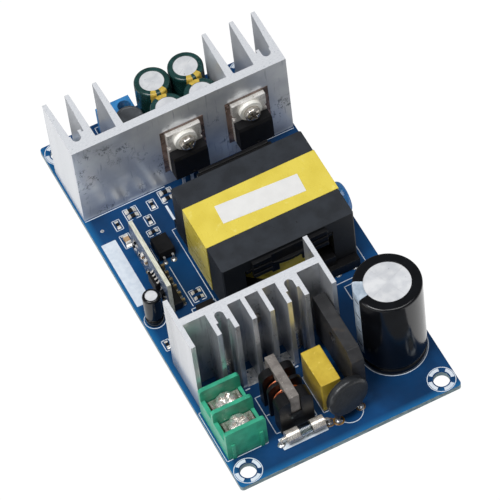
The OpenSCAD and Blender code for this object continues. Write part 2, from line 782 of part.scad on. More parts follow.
// Section of the front heatsink: plate, end walls, fins and two screw channels
module front_section() {
    difference() {
        union() {
            translate([sink_x0, sink_plate_y]) square([front_w, front_plate]);
            for (x = [sink_x0, sink_x1 - front_wall])
                translate([x, sink_y0]) square([front_wall, sink_y1 - sink_y0]);
            for (x = sink_fin_x)
                translate([x - front_fin_t / 2, sink_y0 + fin_inset]) square([front_fin_t, front_fin]);
            for (x = sink_slot_x) {
                translate([x - front_pitch / 2, sink_plate_y - boss_depth])
                    square([front_pitch, boss_depth + eps]);
                translate([x - slot_w / 2 - lip, sink_plate_y - boss_depth - lip])
                    square([slot_w + 2 * lip, boss_depth + lip]);
            }
        }
        for (x = sink_slot_x) translate([x, sink_plate_y]) mirror([0, 1]) channel();
    }
}

// Front heatsink with the tapped hole for the transistor
module front_heatsink() {
    color("#c3c7ce") translate([0, 0, top]) difference() {
        linear_extrude(front_h) front_section();
        translate([fet_x, sink_plate_y - over, tab_hole_z]) rotate([-90, 0, 0])
            cylinder(d = dev_screw_d + 2 * screw_play, h = front_plate + 2 * over);
    }
}

// Four screws driven from below into the channels of the heatsinks
module heatsink_screws() {
    color("#c9c9cc") for (p = sink_screw_points) translate([p[0], p[1], 0])
        mirror([0, 0, 1]) pan_screw(sink_screw_d, sink_head_d, sink_head_h, sink_screw_l);
}

// Places a device with its tab's back at y = 0, its front towards -Y, on the board
module at_rectifier(x) {
    translate([x, rect_back, top]) children();
}
module at_transistor() {
    translate([fet_x, fet_back, top]) mirror([0, 1, 0]) children();
}

// Metal tab with its hole and side notches, and the three legs
module device_frame() {
    notch = 0.8;
    difference() {
        translate([-dev_w / 2, -tab_t, dev_lift]) cube([dev_w, tab_t, tab_l]);
        translate([0, over, tab_hole_z]) rotate([90, 0, 0])
            cylinder(d = tab_hole_d, h = tab_t + 2 * over);
        for (s = [-1, 1]) translate([s * dev_w / 2, over, dev_lift + dev_body_h + 2 * notch])
            rotate([90, 0, 0]) cylinder(r = notch, h = tab_t + 2 * over);
    }
    for (i = [-1 : 1]) translate([i * leg_pitch, -leg_plane, 0]) {
        translate([-leg_w / 2, -leg_t / 2, -board_t - lead_tail])
            cube([leg_w, leg_t, board_t + lead_tail + dev_lift]);
        translate([-leg_wide / 2, -leg_t / 2, dev_lift - leg_wide_l]) cube([leg_wide, leg_t, leg_wide_l]);
    }
}

// Moulded body in front of the tab, with a sloped upper edge and an ejector dimple
module device_body() {
    slope = 0.9;
    dimple_r = 0.75;
    dimple = 0.15;
    depth = dev_body_t - tab_t;
    difference() {
        translate([-dev_w / 2, -tab_t, dev_lift]) rotate([90, 0, 90]) linear_extrude(dev_w)
            polygon([[0, 0], [-depth, 0], [-depth, dev_body_h - slope], [-depth + slope / 2, dev_body_h],
                [0, dev_body_h]]);
        translate([0, -dev_body_t - over, dev_lift + 2 * dimple_r]) rotate([-90, 0, 0])
            cylinder(r = dimple_r, h = over + dimple);
    }
}

// Insulating sheet between a tab and its heatsink
module sheet() {
    h = tab_l + 2 * mica_over;
    difference() {
        translate([-mica_w / 2, 0, dev_lift - mica_over]) cube([mica_w, mica_t, h]);
        translate([0, -over, tab_hole_z]) rotate([-90, 0, 0]) cylinder(d = bush_bore, h = 2 * over);
    }
}

// White bush that keeps the screw clear of the tab
module bush() {
    neck = tab_t * 0.8;
    translate([0, -tab_t, tab_hole_z]) rotate([90, 0, 0]) difference() {
        union() {
            cylinder(d = bush_d, h = bush_t);
            translate([0, 0, -neck]) cylinder(d = tab_hole_d - 2 * screw_play, h = neck + eps);
        }
        translate([0, 0, -tab_t]) cylinder(d = bush_bore, h = tab_t + bush_t + over);
    }
}

// Screw that holds a device to its heatsink
module device_screw() {
    translate([0, -tab_t - bush_t, tab_hole_z]) rotate([90, 0, 0])
        pan_screw(dev_screw_d, dev_head_d, dev_head_h, dev_screw_l);
}

module left_rectifier_body() { color("#17181b") at_rectifier(rect_x[0]) device_body(); }
module left_rectifier_frame() { color("#d2d0cb") at_rectifier(rect_x[0]) device_frame(); }
module right_rectifier_body() { color("#17181b") at_rectifier(rect_x[1]) device_body(); }
module right_rectifier_frame() { color("#d2d0cb") at_rectifier(rect_x[1]) device_frame(); }
module transistor_body() { color("#17181b") at_transistor() device_body(); }
module transistor_frame() { color("#d2d0cb") at_transistor() device_frame(); }
module mica_sheets() { color("#8d7a72") for (x = rect_x) at_rectifier(x) sheet(); }
module transistor_pad() { color("#9aa3ad") at_transistor() sheet(); }
module shoulder_bushes() {
    color("#efeee8") {
        for (x = rect_x) at_rectifier(x) bush();
        at_transistor() bush();
    }
}
module device_screws() {
    color("#c8c4ba") {
        for (x = rect_x) at_rectifier(x) device_screw();
        at_transistor() device_screw();
    }
}

// Half of the ferrite core, with its parting face at z = 0 and its plate upwards
module core_half() {
    difference() {
        linear_extrude(core_h / 2) chamfered_rect(core_w, core_d, core_chamfer);
        translate([0, 0, -over]) linear_extrude(window_h / 2 + over) difference() {
            union() {
                circle(d = core_bore);
                square([core_open, core_d + 2 * over], center = true);
            }
            circle(d = post_d);
        }
    }
}
module core_upper() { color("#34373c") translate([tr_x, tr_y, core_mid]) core_half(); }
module core_lower() { color("#34373c") translate([tr_x, tr_y, core_mid]) mirror([0, 0, 1]) core_half(); }

// Flange of the bobbin: a disc with tongues through both openings of the core
module bobbin_flange() {
    difference() {
        union() {
            circle(d = flange_d);
            square([core_open - 4 * bobbin_play, core_d + 2 * bobbin_play + eps], center = true);
        }
        circle(d = post_d + 2 * bobbin_play);
    }
}

// Lip in front of the core's top plate with two ribbed wire lugs and a plain guard beside each
module wire_lip() {
    z0 = window_h / 2 - bobbin_play - bobbin_wall;
    y0 = core_d / 2 + bobbin_play;
    h = bobbin_wall + bobbin_play + lip_h;
    lug_h = h + lug_drop;
    rib = lug_h / (2 * lug_ribs - 1);
    translate([-lip_l / 2, y0, z0]) cube([lip_l, lip_t, h]);
    for (s = [-1, 1]) {
        translate([s * (lip_l - lug_w) / 2 - lug_w / 2, y0, z0 - lug_drop]) {
            cube([lug_w, lip_t + lug_d / 2, lug_h]);
            for (i = [0 : lug_ribs - 1]) translate([0, 0, 2 * i * rib]) cube([lug_w, lip_t + lug_d, rib]);
        }
        translate([s * (lip_l - guard_w) / 2 - s * lug_w - guard_w / 2, y0, z0 - guard_drop])
            cube([guard_w, lip_t, guard_drop + h]);
    }
}

// Rail that carries a row of pins, hung from the lower flange by a skirt
module pin_rail() {
    foot = rail_foot - core_mid + top;
    y0 = core_d / 2 + bobbin_play;
    skirt_w = core_open - 4 * bobbin_play;
    skirt_top = bobbin_play + bobbin_wall - window_h / 2;
    translate([-rail_l / 2, y0, foot]) cube([rail_l, rail_d, rail_h]);
    translate([-skirt_w / 2, y0, foot]) cube([skirt_w, bobbin_wall, skirt_top - foot]);
}

// Moulded bobbin that carries the winding and the pins
module bobbin() {
    inner_h = window_h - 2 * bobbin_play;
    color("#101114") difference() {
        translate([tr_x, tr_y, core_mid]) {
            for (z = [-inner_h / 2, inner_h / 2 - bobbin_wall]) translate([0, 0, z])
                linear_extrude(bobbin_wall) bobbin_flange();
            translate([0, 0, -inner_h / 2]) linear_extrude(inner_h) difference() {
                circle(d = barrel_d);
                circle(d = post_d + 2 * bobbin_play);
            }
            for (m = [0, 1]) mirror([0, m, 0]) {
                wire_lip();
                pin_rail();
            }
        }
        for (p = tr_leads) lead(p, top + rail_foot + pin_depth);
    }
}

// Pins of the transformer
module bobbin_pins() { color("#d8d6cf") for (p = tr_leads) lead(p, top + rail_foot + pin_depth); }

// Winding wrapped in yellow tape
module winding() {
    h = window_h - 2 * bobbin_play - 2 * bobbin_wall;
    color("#d9b832") translate([tr_x, tr_y, core_mid - h / 2]) linear_extrude(h) difference() {
        circle(d = winding_d);
        circle(d = barrel_d);
    }
}

// Tape band that holds the two core halves together
module core_tape() {
    color("#e6d14c") translate([tr_x, tr_y + tape_shift + tape_w / 2, core_mid]) rotate([90, 0, 0])
        linear_extrude(tape_w) difference() {
            square([core_w + 2 * tape_t, core_h + 2 * tape_t], center = true);
            square([core_w, core_h], center = true);
        }
}

// Blank label on the tape
module core_label() {
    color("#f1f0ec") translate([tr_x, tr_y + tape_shift, core_top + tape_t]) rotate(label_turn)
        translate([-label_l / 2, -label_w / 2, 0]) cube([label_l, label_w, label_t]);
}

// Half section of a capacitor can of radius r from z0 to z1, with its crimp groove
module can_section(r, z0, z1) {
    round = shoulder_r;
    difference() {
        union() {
            translate([0, z0]) square([r, z1 - z0 - round]);
            translate([0, z0]) square([r - round, z1 - z0]);
            translate([r - round, z1 - round]) circle(r = round);
        }
        translate([r + crimp, crimp_z]) circle(r = 2 * crimp);
    }
}

// Aluminium can standing on the board, with its bare top recessed in the sleeve
module can(p, d, h) {
    translate([p[0], p[1], top]) rotate_extrude() can_section(d / 2 - sleeve_t, sleeve_t, h - sleeve_t);
}

// Shrunk sleeve round a can, turned in over the shoulder and the foot
module sleeve(p, d, h) {
    open_r = sleeve_open * d / 2;
    translate([p[0], p[1], top]) rotate_extrude() difference() {
        can_section(d / 2, 0, h);
        can_section(d / 2 - sleeve_t, sleeve_t, h - sleeve_t);
        translate([0, h / 2]) square([open_r, h]);
        translate([0, -h / 2]) square([open_r, h]);
    }
}

module bulk_can() { color("#dcdde0") can([bulk_x, bulk_y], bulk_d, bulk_h); }
module bulk_sleeve() { color("#1b1c20") sleeve([bulk_x, bulk_y], bulk_d, bulk_h); }
module output_can(i) { color("#d9dade") can(cap_points[i], out_cap_d, out_cap_h); }
module output_sleeve(i) { color("#17474a") sleeve(cap_points[i], out_cap_d, out_cap_h); }
module output_can_1() { output_can(0); }
module output_can_2() { output_can(1); }
module output_can_3() { output_can(2); }
module output_can_4() { output_can(3); }
module output_sleeve_1() { output_sleeve(0); }
module output_sleeve_2() { output_sleeve(1); }
module output_sleeve_3() { output_sleeve(2); }
module output_sleeve_4() { output_sleeve(3); }
module supply_can() { color("#d9dade") can([small_x, small_y], small_d, small_h); }
module supply_sleeve() { color("#15161a") sleeve([small_x, small_y], small_d, small_h); }

// Divider wall of the input terminal, standing in the XZ plane
module divider() {
    rotate([90, 0, 90]) rotate([0, -90, 0]) mirror([0, 0, 1]) linear_extrude(in_wall) {
        square([in_w, in_h - in_round]);
        translate([in_round, 0]) square([in_w - 2 * in_round, in_h]);
        for (x = [in_round, in_w - in_round]) translate([x, in_h - in_round]) circle(r = in_round);
    }
}

// Green barrier block: floor, three dividers, low outer wall, inner posts and two keying ribs
module input_housing() {
    rib_w = 1;
    rib_t = 0.5;
    rib_in = 1.25;
    rib_h = in_h * 0.55;
    boss_d = in_screw_d + 2 * boss_wall + 2 * clamp_play;
    color("#2f9a68") difference() {
        union() {
            translate([in_x0, in_y0, top]) cube([in_w, in_l, in_floor]);
            translate([in_x0, in_y0, top]) cube([in_wall, in_l, in_low]);
            translate([in_x1 - in_post, in_y0, top]) cube([in_post, in_l, in_post_h]);
            for (i = [0 : 2]) translate([in_x0, in_y0 + i * in_pitch, top]) divider();
            for (x = [in_x0 + rib_in, in_x1 - rib_in - rib_w])
                translate([x, in_y0 - rib_t, top]) cube([rib_w, rib_t + eps, rib_h]);
        }
        for (y = in_poles) {
            translate([in_pocket_x, y - in_bay / 2, top + in_floor - plate_t])
                cube([in_pocket, in_bay, in_h]);
            translate([in_mid, y, top - over]) cylinder(d = boss_d, h = in_floor + over);
        }
    }
}

// Tinned contact plates with a tapped hole and a pin through the board
module input_contacts() {
    len = in_pocket - 2 * clamp_play;
    wid = in_bay - 2 * clamp_play;
    z0 = top + in_floor - plate_t;
    color("#cfcabd") for (y = in_poles) {
        difference() {
            union() {
                translate([in_mid - len / 2, y - wid / 2, z0]) cube([len, wid, plate_t]);
                translate([in_mid, y, top + lead_d])
                    cylinder(d = in_screw_d + 2 * boss_wall, h = z0 - top - lead_d + eps);
            }
            translate([in_mid, y, top + 2 * lead_d])
                cylinder(d = in_screw_d + 2 * screw_play, h = in_floor);
        }
        lead([in_mid, y], top + lead_d + eps);
    }
}

// Clamp washers under the screw heads, with their ends turned up
module input_clamps() {
    wid = in_bay - 2 * clamp_play;
    len = in_pocket - 4 * clamp_play;
    ear = 0.7;
    ear_w = wid * 0.72;
    z0 = top + in_floor;
    color("#d6d2c8") for (y = in_poles) difference() {
        translate([in_mid, y, z0]) {
            translate([-len / 2, -wid / 2, 0]) cube([len, wid, clamp_t]);
            for (s = [-1, 1]) translate([s * (len - ear) / 2 - ear / 2, -ear_w / 2, 0])
                cube([ear, ear_w, 2 * clamp_t]);
        }
        translate([in_mid, y, z0 - over]) cylinder(d = in_screw_d + 2 * screw_play, h = clamp_t + 2 * over);
    }
}

// Cross-head clamp screws of the input terminal
module input_screws() {
    turn = 24;
    room = clamp_t + in_floor - 2 * lead_d;
    color("#dad6cc") for (y = in_poles) translate([in_mid, y, top + in_floor + clamp_t]) rotate(turn)
        pan_screw(in_screw_d, in_head_d, in_head_h, room - clamp_play);
}

// Blue output block with screw wells in its top and wire entries in its back
module output_housing() {
    color("#2c86d6") translate([0, 0, top]) difference() {
        translate([out_x - out_w / 2, out_y0, 0]) cube([out_w, out_d, out_h]);
        for (x = out_poles) {
            translate([x, well_y, entry_z + entry_h - over]) cylinder(d = well_d, h = out_h);
            translate([x - entry_w / 2, out_y0 + out_back, entry_z]) cube([entry_w, out_d, entry_h]);
            translate([x, well_y, -over]) cylinder(d = lead_d + 4 * cage_play, h = entry_z + 2 * over);
        }
    }
}

// Brass cages inside the wire entries, each with a pin through the board
module output_cages() {
    w = entry_w - 2 * cage_play;
    h = entry_h - 2 * cage_play;
    z0 = top + entry_z + cage_play;
    color("#c9a24a") for (x = out_poles) {
        difference() {
            translate([x - w / 2, out_y0 + out_back + cage_play, z0]) cube([w, cage_d, h]);
            translate([x - w / 2 + cage_t, out_y0, z0 + cage_t])
                cube([w - 2 * cage_t, out_d, h - 2 * cage_t]);
            translate([x, well_y, z0 + h / 2]) cylinder(d = out_screw_d + 2 * screw_play, h = h);
        }
        lead([x, well_y], z0 + eps);
    }
}

// Slotted brass screws in the wells of the output block
module output_screws() {
    len = 3;
    slit = 0.6;
    slit_depth = 0.8;
    z0 = top + entry_z + entry_h - len / 2;
    color("#c9a24a") for (x = out_poles) difference() {
        translate([x, well_y, z0]) cylinder(d = out_screw_d, h = len);
        translate([x - out_screw_d, well_y - slit / 2, z0 + len - slit_depth])
            cube([2 * out_screw_d, slit, over]);
    }
}

// Upright plate of thickness t across the choke, with its front at y
module choke_plate(y, t) {
    translate([choke_x, y + t, choke_z]) rotate([90, 0, 0]) linear_extrude(t) children();
}

// Ferrite frame of the choke with a middle bar for the windings
module choke_core() {
    color("#8f8a84") translate([choke_x - choke_bar / 2, choke_core_y + choke_play, choke_z])
        rotate([90, 0, 90]) linear_extrude(choke_bar) translate([choke_core_l / 2, 0]) difference() {
            square([choke_core_l, choke_h], center = true);
            for (s = [-1, 1]) translate([0, s * (choke_win + choke_bar) / 2])
                square([choke_core_l - 2 * choke_bar, choke_win], center = true);
        }
}

// Outline of a choke cheek: rounded above, square at the foot
module choke_cheek_shape() {
    foot = choke_z - top - choke_foot;
    rounded_rect(choke_flange, choke_flange_h, choke_flange / 4);
    translate([-choke_flange / 2, -foot]) square([choke_flange, foot]);
}

// Outline of a choke flange, with slots for the outer bars of the core
module choke_flange_shape() {
    difference() {
        choke_cheek_shape();
        for (s = [-1, 1]) translate([0, s * choke_h / 2])
            square([choke_slot, 2 * (choke_bar + choke_play)], center = true);
    }
}

// Bobbin of the choke: sleeve round the middle bar, a front cheek round the core's end, two flanges
module choke_bobbin() {
    color("#141517") difference() {
        union() {
            choke_plate(choke_y0, choke_lip + eps) difference() {
                choke_cheek_shape();
                translate([-choke_slot / 2, 0]) square([choke_slot, choke_h]);
            }
            choke_plate(choke_core_y, choke_front - choke_core_y) choke_flange_shape();
            choke_plate(choke_front + choke_room, mid_flange_t) choke_flange_shape();
            choke_plate(choke_rear - choke_back, choke_back) choke_flange_shape();
            choke_plate(choke_core_y, choke_rear - choke_core_y) square(choke_tube, center = true);
        }
        choke_plate(choke_core_y, choke_l) square(choke_slot, center = true);
        choke_plate(choke_core_y, choke_slot) square([choke_slot, choke_h + over], center = true);
        for (p = choke_leads) lead(p, top + pin_depth);
    }
}

// Ridged copper windings between the flanges
module choke_windings() {
    wire = choke_room / choke_turns;
    groove = wire / 2;
    h = choke_bar + 2 * choke_win - 2 * choke_play;
    color("#b5532c") for (y = [choke_front, choke_front + choke_room + mid_flange_t]) difference() {
        union() {
            choke_plate(y, choke_room) rounded_rect(choke_wind_w - groove, h - groove, h / 3);
            for (i = [0 : choke_turns - 1]) choke_plate(y + (i + 1 / 8) * wire, wire * 3 / 4)
                rounded_rect(choke_wind_w, h, h / 3);
        }
        choke_plate(y - over, choke_room + 2 * over) square(choke_tube, center = true);
    }
}

// Yellow box capacitor across the mains
module film_capacitor() {
    edge_r = 0.3;
    color("#d9bd3f") translate([film_x, film_y, top]) difference() {
        translate([0, 0, hole_play]) rounded_block(film_w, film_l, film_h - hole_play, edge_r);
        for (s = [-1, 1]) translate([0, s * film_pitch / 2, -over]) cylinder(d = lead_d, h = 2 * over);
    }
}

// Flat bridge rectifier on edge, with a through hole and one cut corner
module bridge_body() {
    color("#232427") translate([bridge_x - bridge_t / 2, bridge_y, bridge_z0]) rotate([90, 0, 90])
        linear_extrude(bridge_t) difference() {
            polygon([[-bridge_l / 2, 0], [bridge_l / 2, 0], [bridge_l / 2, bridge_h],
                [bridge_chamfer - bridge_l / 2, bridge_h], [-bridge_l / 2, bridge_h - bridge_chamfer]]);
            translate([0, bridge_h * 0.72]) circle(d = bridge_hole);
        }
}

// Four flat leads of the bridge
module bridge_leads() {
    color("#d3d1ca") for (p = bridge_leads_at) {
        translate([p[0] - leg_t / 2, p[1] - leg_w / 2, -lead_tail])
            cube([leg_t, leg_w, bridge_z0 + lead_tail]);
        translate([p[0] - leg_t / 2, p[1] - leg_wide / 2, bridge_z0 - bridge_lift * 0.6])
            cube([leg_t, leg_wide, bridge_lift * 0.6]);
    }
}

// Half section of a coated disc of diameter d and thickness t, standing on its axis
module disc_section(d, t) {
    r = t * 0.4;
    square([d / 2 - r, t]);
    translate([0, r]) square([d / 2, t - 2 * r]);
    for (z = [r, t - r]) translate([d / 2 - r, z]) circle(r = r);
}

// Black disc that limits the inrush current, leaning back, its coating drawn down over the leads
module inrush_disc() {
    root_z = top + disc_z - disc_d / 2 - lead_d;
    color("#2b2d31") difference() {
        union() {
            translate([disc_x, disc_y, disc_zc]) rotate([90 - disc_lean, 0, disc_turn])
                translate([0, 0, -disc_t / 2]) rotate_extrude() disc_section(disc_d, disc_t);
            for (p = disc_leads) translate([p[0], p[1], root_z])
                cylinder(d1 = 2 * lead_d, d2 = disc_t * 0.8, h = disc_d / 3);
        }
        for (p = disc_leads) lead(p, disc_zc);
    }
}

// Glass tube of the fuse, between the floors of its caps
module fuse_tube() {
    d = fuse_d - 2 * fuse_metal;
    l = fuse_l - 2 * fuse_metal;
    color("#c9d3d6") translate([fuse_x - l / 2, fuse_y, fuse_axis]) rotate([0, 90, 0]) difference() {
        cylinder(d = d, h = l);
        translate([0, 0, -over]) cylinder(d = d - 2 * fuse_glass, h = l + 2 * over);
    }
}

// Nickel end caps of the fuse with their bent leads
module fuse_caps() {
    bend = 0.9;
    color("#cfccc3") for (m = [0, 1]) translate([fuse_x, fuse_y, 0]) mirror([m, 0, 0]) {
        translate([fuse_l / 2 - fuse_cap, 0, fuse_axis]) rotate([0, 90, 0]) difference() {
            cylinder(d = fuse_d, h = fuse_cap);
            translate([0, 0, -over])
                cylinder(d = fuse_d - 2 * fuse_metal, h = fuse_cap + over - fuse_metal);
        }
        translate([fuse_l / 2 - eps, 0, fuse_axis]) rotate([0, 90, 0])
            cylinder(d = lead_d, h = (fuse_pitch - fuse_l) / 2 - bend + eps);
        translate([fuse_pitch / 2 - bend, 0, fuse_axis - bend]) rotate([90, 0, 0])
            rotate_extrude(angle = 90) translate([bend, 0]) circle(d = lead_d);
        translate([fuse_pitch / 2, 0, -lead_tail]) cylinder(d = lead_d, h = fuse_axis - bend + lead_tail);
    }
}

// Blue disc capacitor between the two sides of the supply
module safety_disc() {
    color("#1c69bd") difference() {
        translate([safety_x - safety_t / 2, safety_y, top + safety_z]) rotate([0, 90, 0])
            rotate_extrude() disc_section(safety_d, safety_t);
        for (p = safety_leads) lead(p, top + safety_z);
    }
}

// Upright inductor in a black shrunk sleeve
module output_inductor() {
    rim = 0.6;
    color("#232428") translate([coil_x, coil_y, top]) difference() {
        rotate_extrude() {
            translate([0, hole_play]) square([coil_d / 2 - rim, coil_h - hole_play - rim * 0.3]);
            translate([0, hole_play + rim]) square([coil_d / 2, coil_h - hole_play - 2 * rim]);
            for (z = [hole_play + rim, coil_h - rim]) translate([coil_d / 2 - rim, z]) circle(r = rim);
        }
        for (s = [-1, 1]) translate([s * coil_pitch / 2, 0, -over]) cylinder(d = lead_d, h = 2 * over);
    }
}

// Upright control board with holes for the header pins
module control_board() {
    color("#c9cdb4") difference() {
        translate([ctrl_x, ctrl_y - ctrl_l / 2, top + ctrl_foot])
            cube([ctrl_t, ctrl_l, ctrl_h - ctrl_foot]);
        for (p = header_leads) translate([ctrl_x - over, p[1], pin_z]) rotate([0, 90, 0])
            cylinder(d = pin_w * sqrt(2) + 2 * hole_play, h = ctrl_t + 2 * over);
    }
}

// Chips on the left face of the control board
module control_chips() {
    color("#1d1e21") for (c = ctrl_chips)
        translate([ctrl_x - c[2][2], ctrl_y + c[0] - c[2][0] / 2, top + ctrl_h / 2 + c[1] - c[2][1] / 2])
            cube([c[2][2], c[2][0], c[2][1]]);
}

// Plastic strip of the angled header
module control_header() {
    color("#131416") difference() {
        translate([header_x - header_w / 2, header_y - header_pins_n * header_pitch / 2,
                pin_z - header_w / 2])
            cube([header_w, header_pins_n * header_pitch, header_w]);
        for (p = header_leads) translate([header_x, p[1], pin_z])
            cube([header_w + over, pin_w, pin_w], center = true);
    }
}

// Angled square pins from the control board down into the main board
module header_pins() {
    x0 = ctrl_x - pin_tail;
    color("#c2a55a") for (p = header_leads) {
        translate([x0, p[1] - pin_w / 2, pin_z - pin_w / 2])
            cube([pin_bend_x + pin_w / 2 - x0, pin_w, pin_w]);
        translate([pin_bend_x - pin_w / 2, p[1] - pin_w / 2, -lead_tail])
            cube([pin_w, pin_w, pin_z + lead_tail]);
    }
}

// Moulded body of the coupler with a dot at its first leg
module coupler_body() {
    half = coupler_l / 2;
    taper = 0.35;
    dot_r = 0.45;
    dot = 0.15;
    color("#16171a") translate([coupler_x, coupler_y, coupler_z]) difference() {
        translate([coupler_w / 2, 0, 0]) rotate([90, 0, -90]) linear_extrude(coupler_w)
            polygon([[taper - half, 0], [half - taper, 0], [half, coupler_h / 2],
                [half - taper, coupler_h], [taper - half, coupler_h], [-half, coupler_h / 2]]);
        translate([-coupler_w / 4, -coupler_l / 3, coupler_h - dot]) cylinder(r = dot_r, h = over);
    }
}

// Legs of the coupler, out of its sides and down through the board
module coupler_legs() {
    z = coupler_z + coupler_h / 2;
    color("#d5d3cc") for (sx = [-1, 1], m = [0, 1])
        translate([coupler_x + sx * leg_pitch / 2, coupler_y, 0]) mirror([0, m, 0]) {
            translate([-coupler_leg_w / 2, coupler_l / 2, z - coupler_leg_t / 2])
                cube([coupler_leg_w, (coupler_row - coupler_l + coupler_leg_t) / 2, coupler_leg_t]);
            translate([-coupler_leg_w / 2, (coupler_row - coupler_leg_t) / 2, -lead_tail])
                cube([coupler_leg_w, coupler_leg_t, z + lead_tail]);
        }
}

// Surface-mounted chips on the main board
module chip_parts() {
    color("#2a2a2c") for (c = chips)
        translate([ctrl_x + ctrl_t / 2 + c[0], ctrl_y + c[1], top]) rotate(c[2])
            translate([-c[3][0] / 2, -c[3][1] / 2, 0]) cube(c[3]);
}

// Tinned leads of the capacitors, discs and inductor, and the pins of the choke
module lead_wires() {
    color("#d6d4cd") {
        for (p = box_leads) lead(p, top + over);
        for (p = disc_leads) lead(p, disc_zc);
        for (p = safety_leads) lead(p, top + safety_z);
        for (p = can_leads) lead(p, top + sleeve_t);
        for (p = choke_leads) lead(p, top + pin_depth);
    }
}

circuit_board();
rear_heatsink();
front_heatsink();
heatsink_screws();
left_rectifier_body();
left_rectifier_frame();
right_rectifier_body();
right_rectifier_frame();
transistor_body();
transistor_frame();
mica_sheets();
transistor_pad();
shoulder_bushes();
device_screws();
core_upper();
core_lower();
bobbin();
winding();
core_tape();
core_label();
bobbin_pins();
bulk_can();
bulk_sleeve();
output_can_1();
output_can_2();
output_can_3();
output_can_4();
output_sleeve_1();
output_sleeve_2();
output_sleeve_3();
output_sleeve_4();
supply_can();
supply_sleeve();
input_housing();
input_contacts();
input_clamps();
input_screws();
output_housing();
output_cages();
output_screws();
choke_core();
choke_bobbin();
choke_windings();
film_capacitor();
bridge_body();
bridge_leads();
inrush_disc();
fuse_tube();
fuse_caps();
safety_disc();
output_inductor();
control_board();
control_chips();
control_header();
header_pins();
coupler_body();
coupler_legs();
chip_parts();
lead_wires();
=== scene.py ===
"""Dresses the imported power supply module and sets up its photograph.

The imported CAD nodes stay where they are. Each class is one sub-assembly: it gives its nodes their
finishes and adds the pieces that are too fine for the solid model. Sizes are in millimetres unless
a name says otherwise, and pieces are turned into metres as they are made.
"""

import logging
import math
import random
from dataclasses import dataclass
from enum import Enum
from typing import Any, Sequence

import bmesh
import bpy
from mathutils import Matrix, Vector


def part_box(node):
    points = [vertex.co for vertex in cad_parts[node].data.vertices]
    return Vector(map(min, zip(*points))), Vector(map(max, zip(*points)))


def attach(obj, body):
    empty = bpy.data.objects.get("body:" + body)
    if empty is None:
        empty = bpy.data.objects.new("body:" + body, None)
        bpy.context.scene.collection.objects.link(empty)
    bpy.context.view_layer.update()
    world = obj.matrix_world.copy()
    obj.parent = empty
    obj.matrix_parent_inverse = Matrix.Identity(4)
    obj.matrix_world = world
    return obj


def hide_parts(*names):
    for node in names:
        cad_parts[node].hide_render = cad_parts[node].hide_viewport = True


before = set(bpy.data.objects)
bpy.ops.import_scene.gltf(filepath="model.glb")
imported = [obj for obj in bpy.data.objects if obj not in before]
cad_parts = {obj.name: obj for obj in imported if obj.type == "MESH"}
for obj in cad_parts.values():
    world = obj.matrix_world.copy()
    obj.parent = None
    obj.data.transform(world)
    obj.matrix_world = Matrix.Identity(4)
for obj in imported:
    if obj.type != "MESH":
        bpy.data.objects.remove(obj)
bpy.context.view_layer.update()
LOG = logging.getLogger("power_supply")
MM = 0.001
MICRON = 0.000001
Point = tuple[float, float]
Triple = tuple[float, float, float]
Piece = bpy.types.Object
Socket = bpy.types.NodeSocket
Tree = bpy.types.NodeTree


# ---------------------------------------------------------------- finishes

# Values between which the noise texture mostly lies.
NOISE_SPAN = (0.3, 0.7)
# Share of the normal along a direction from which a face starts to count and counts in full.
FACING = (0.6, 0.65)
# The two colour inputs of a mix node, and its colour output.
UNDER, OVER, MIXED = 6, 7, 2


def linear(code: str) -> tuple[float, float, float, float]:
    """Turns an sRGB hex colour into the linear one that shaders take.

    Args:
        code: A hash sign and six hex digits.

    Returns:
        Linear red, green and blue, and an alpha of one.
    """
    parts = [int(code[i:i + 2], 16) / 255 for i in (1, 3, 5)]
    line = [c / 12.92 if c <= 0.04045 else ((c + 0.055) / 1.055) ** 2.4 for c in parts]
    return (line[0], line[1], line[2], 1.0)


def add(tree: Tree, kind: str, settings: dict[Any, Any] | None = None,
        links: dict[Any, Socket] | None = None) -> bpy.types.Node:
    """Adds one shader node with its settings and links.

    Args:
        tree: Node tree that takes the node.
        kind: Node type without its common prefix.
        settings: Attributes and input values by name or number; stops is a ramp's list of place
            and tone, where a tone is a hex colour or a grey level.
        links: Output sockets by the name or number of the input that they feed.

    Returns:
        The new node.
    """
    made = tree.nodes.new("ShaderNode" + kind)
    for key, value in (settings or {}).items():
        if key == "stops":
            ramp = made.color_ramp.elements
            ramp[0].position, ramp[1].position = value[0][0], value[-1][0]
            for place, _ in value[1:-1]:
                ramp.new(place)
            for stop, (_, tone) in zip(ramp, value):
                stop.color = linear(tone) if isinstance(tone, str) else (tone, tone, tone, 1.0)
        elif isinstance(key, str) and hasattr(made, key):
            setattr(made, key, value)
        else:
            made.inputs[key].default_value = value
    for key, socket in (links or {}).items():
        tree.links.new(socket, made.inputs[key])
    return made


def mottle(tree: Tree, place: Socket, size: float, stretch: Sequence[float] = (1, 1, 1)) -> Socket:
    """Draws a cloudy pattern whose patches have a real size.

    Args:
        tree: Node tree that takes the nodes.
        place: Object coordinates, in metres.
        size: Size of a patch.
        stretch: Factors on the frequency along X, Y and Z; under one draws the patches out.

    Returns:
        The pattern's value, mostly within NOISE_SPAN.
    """
    drawn = add(tree, "Mapping", {"Scale": stretch}, {"Vector": place}).outputs["Vector"]
    return add(tree, "TexNoise", {"Scale": 1 / (size * MM), "Detail": 4.0},
               {"Vector": drawn}).outputs[0]


class Axis(Enum):
    """A direction of the object's frame."""

    X = "X"
    Y = "Y"
    Z = "Z"


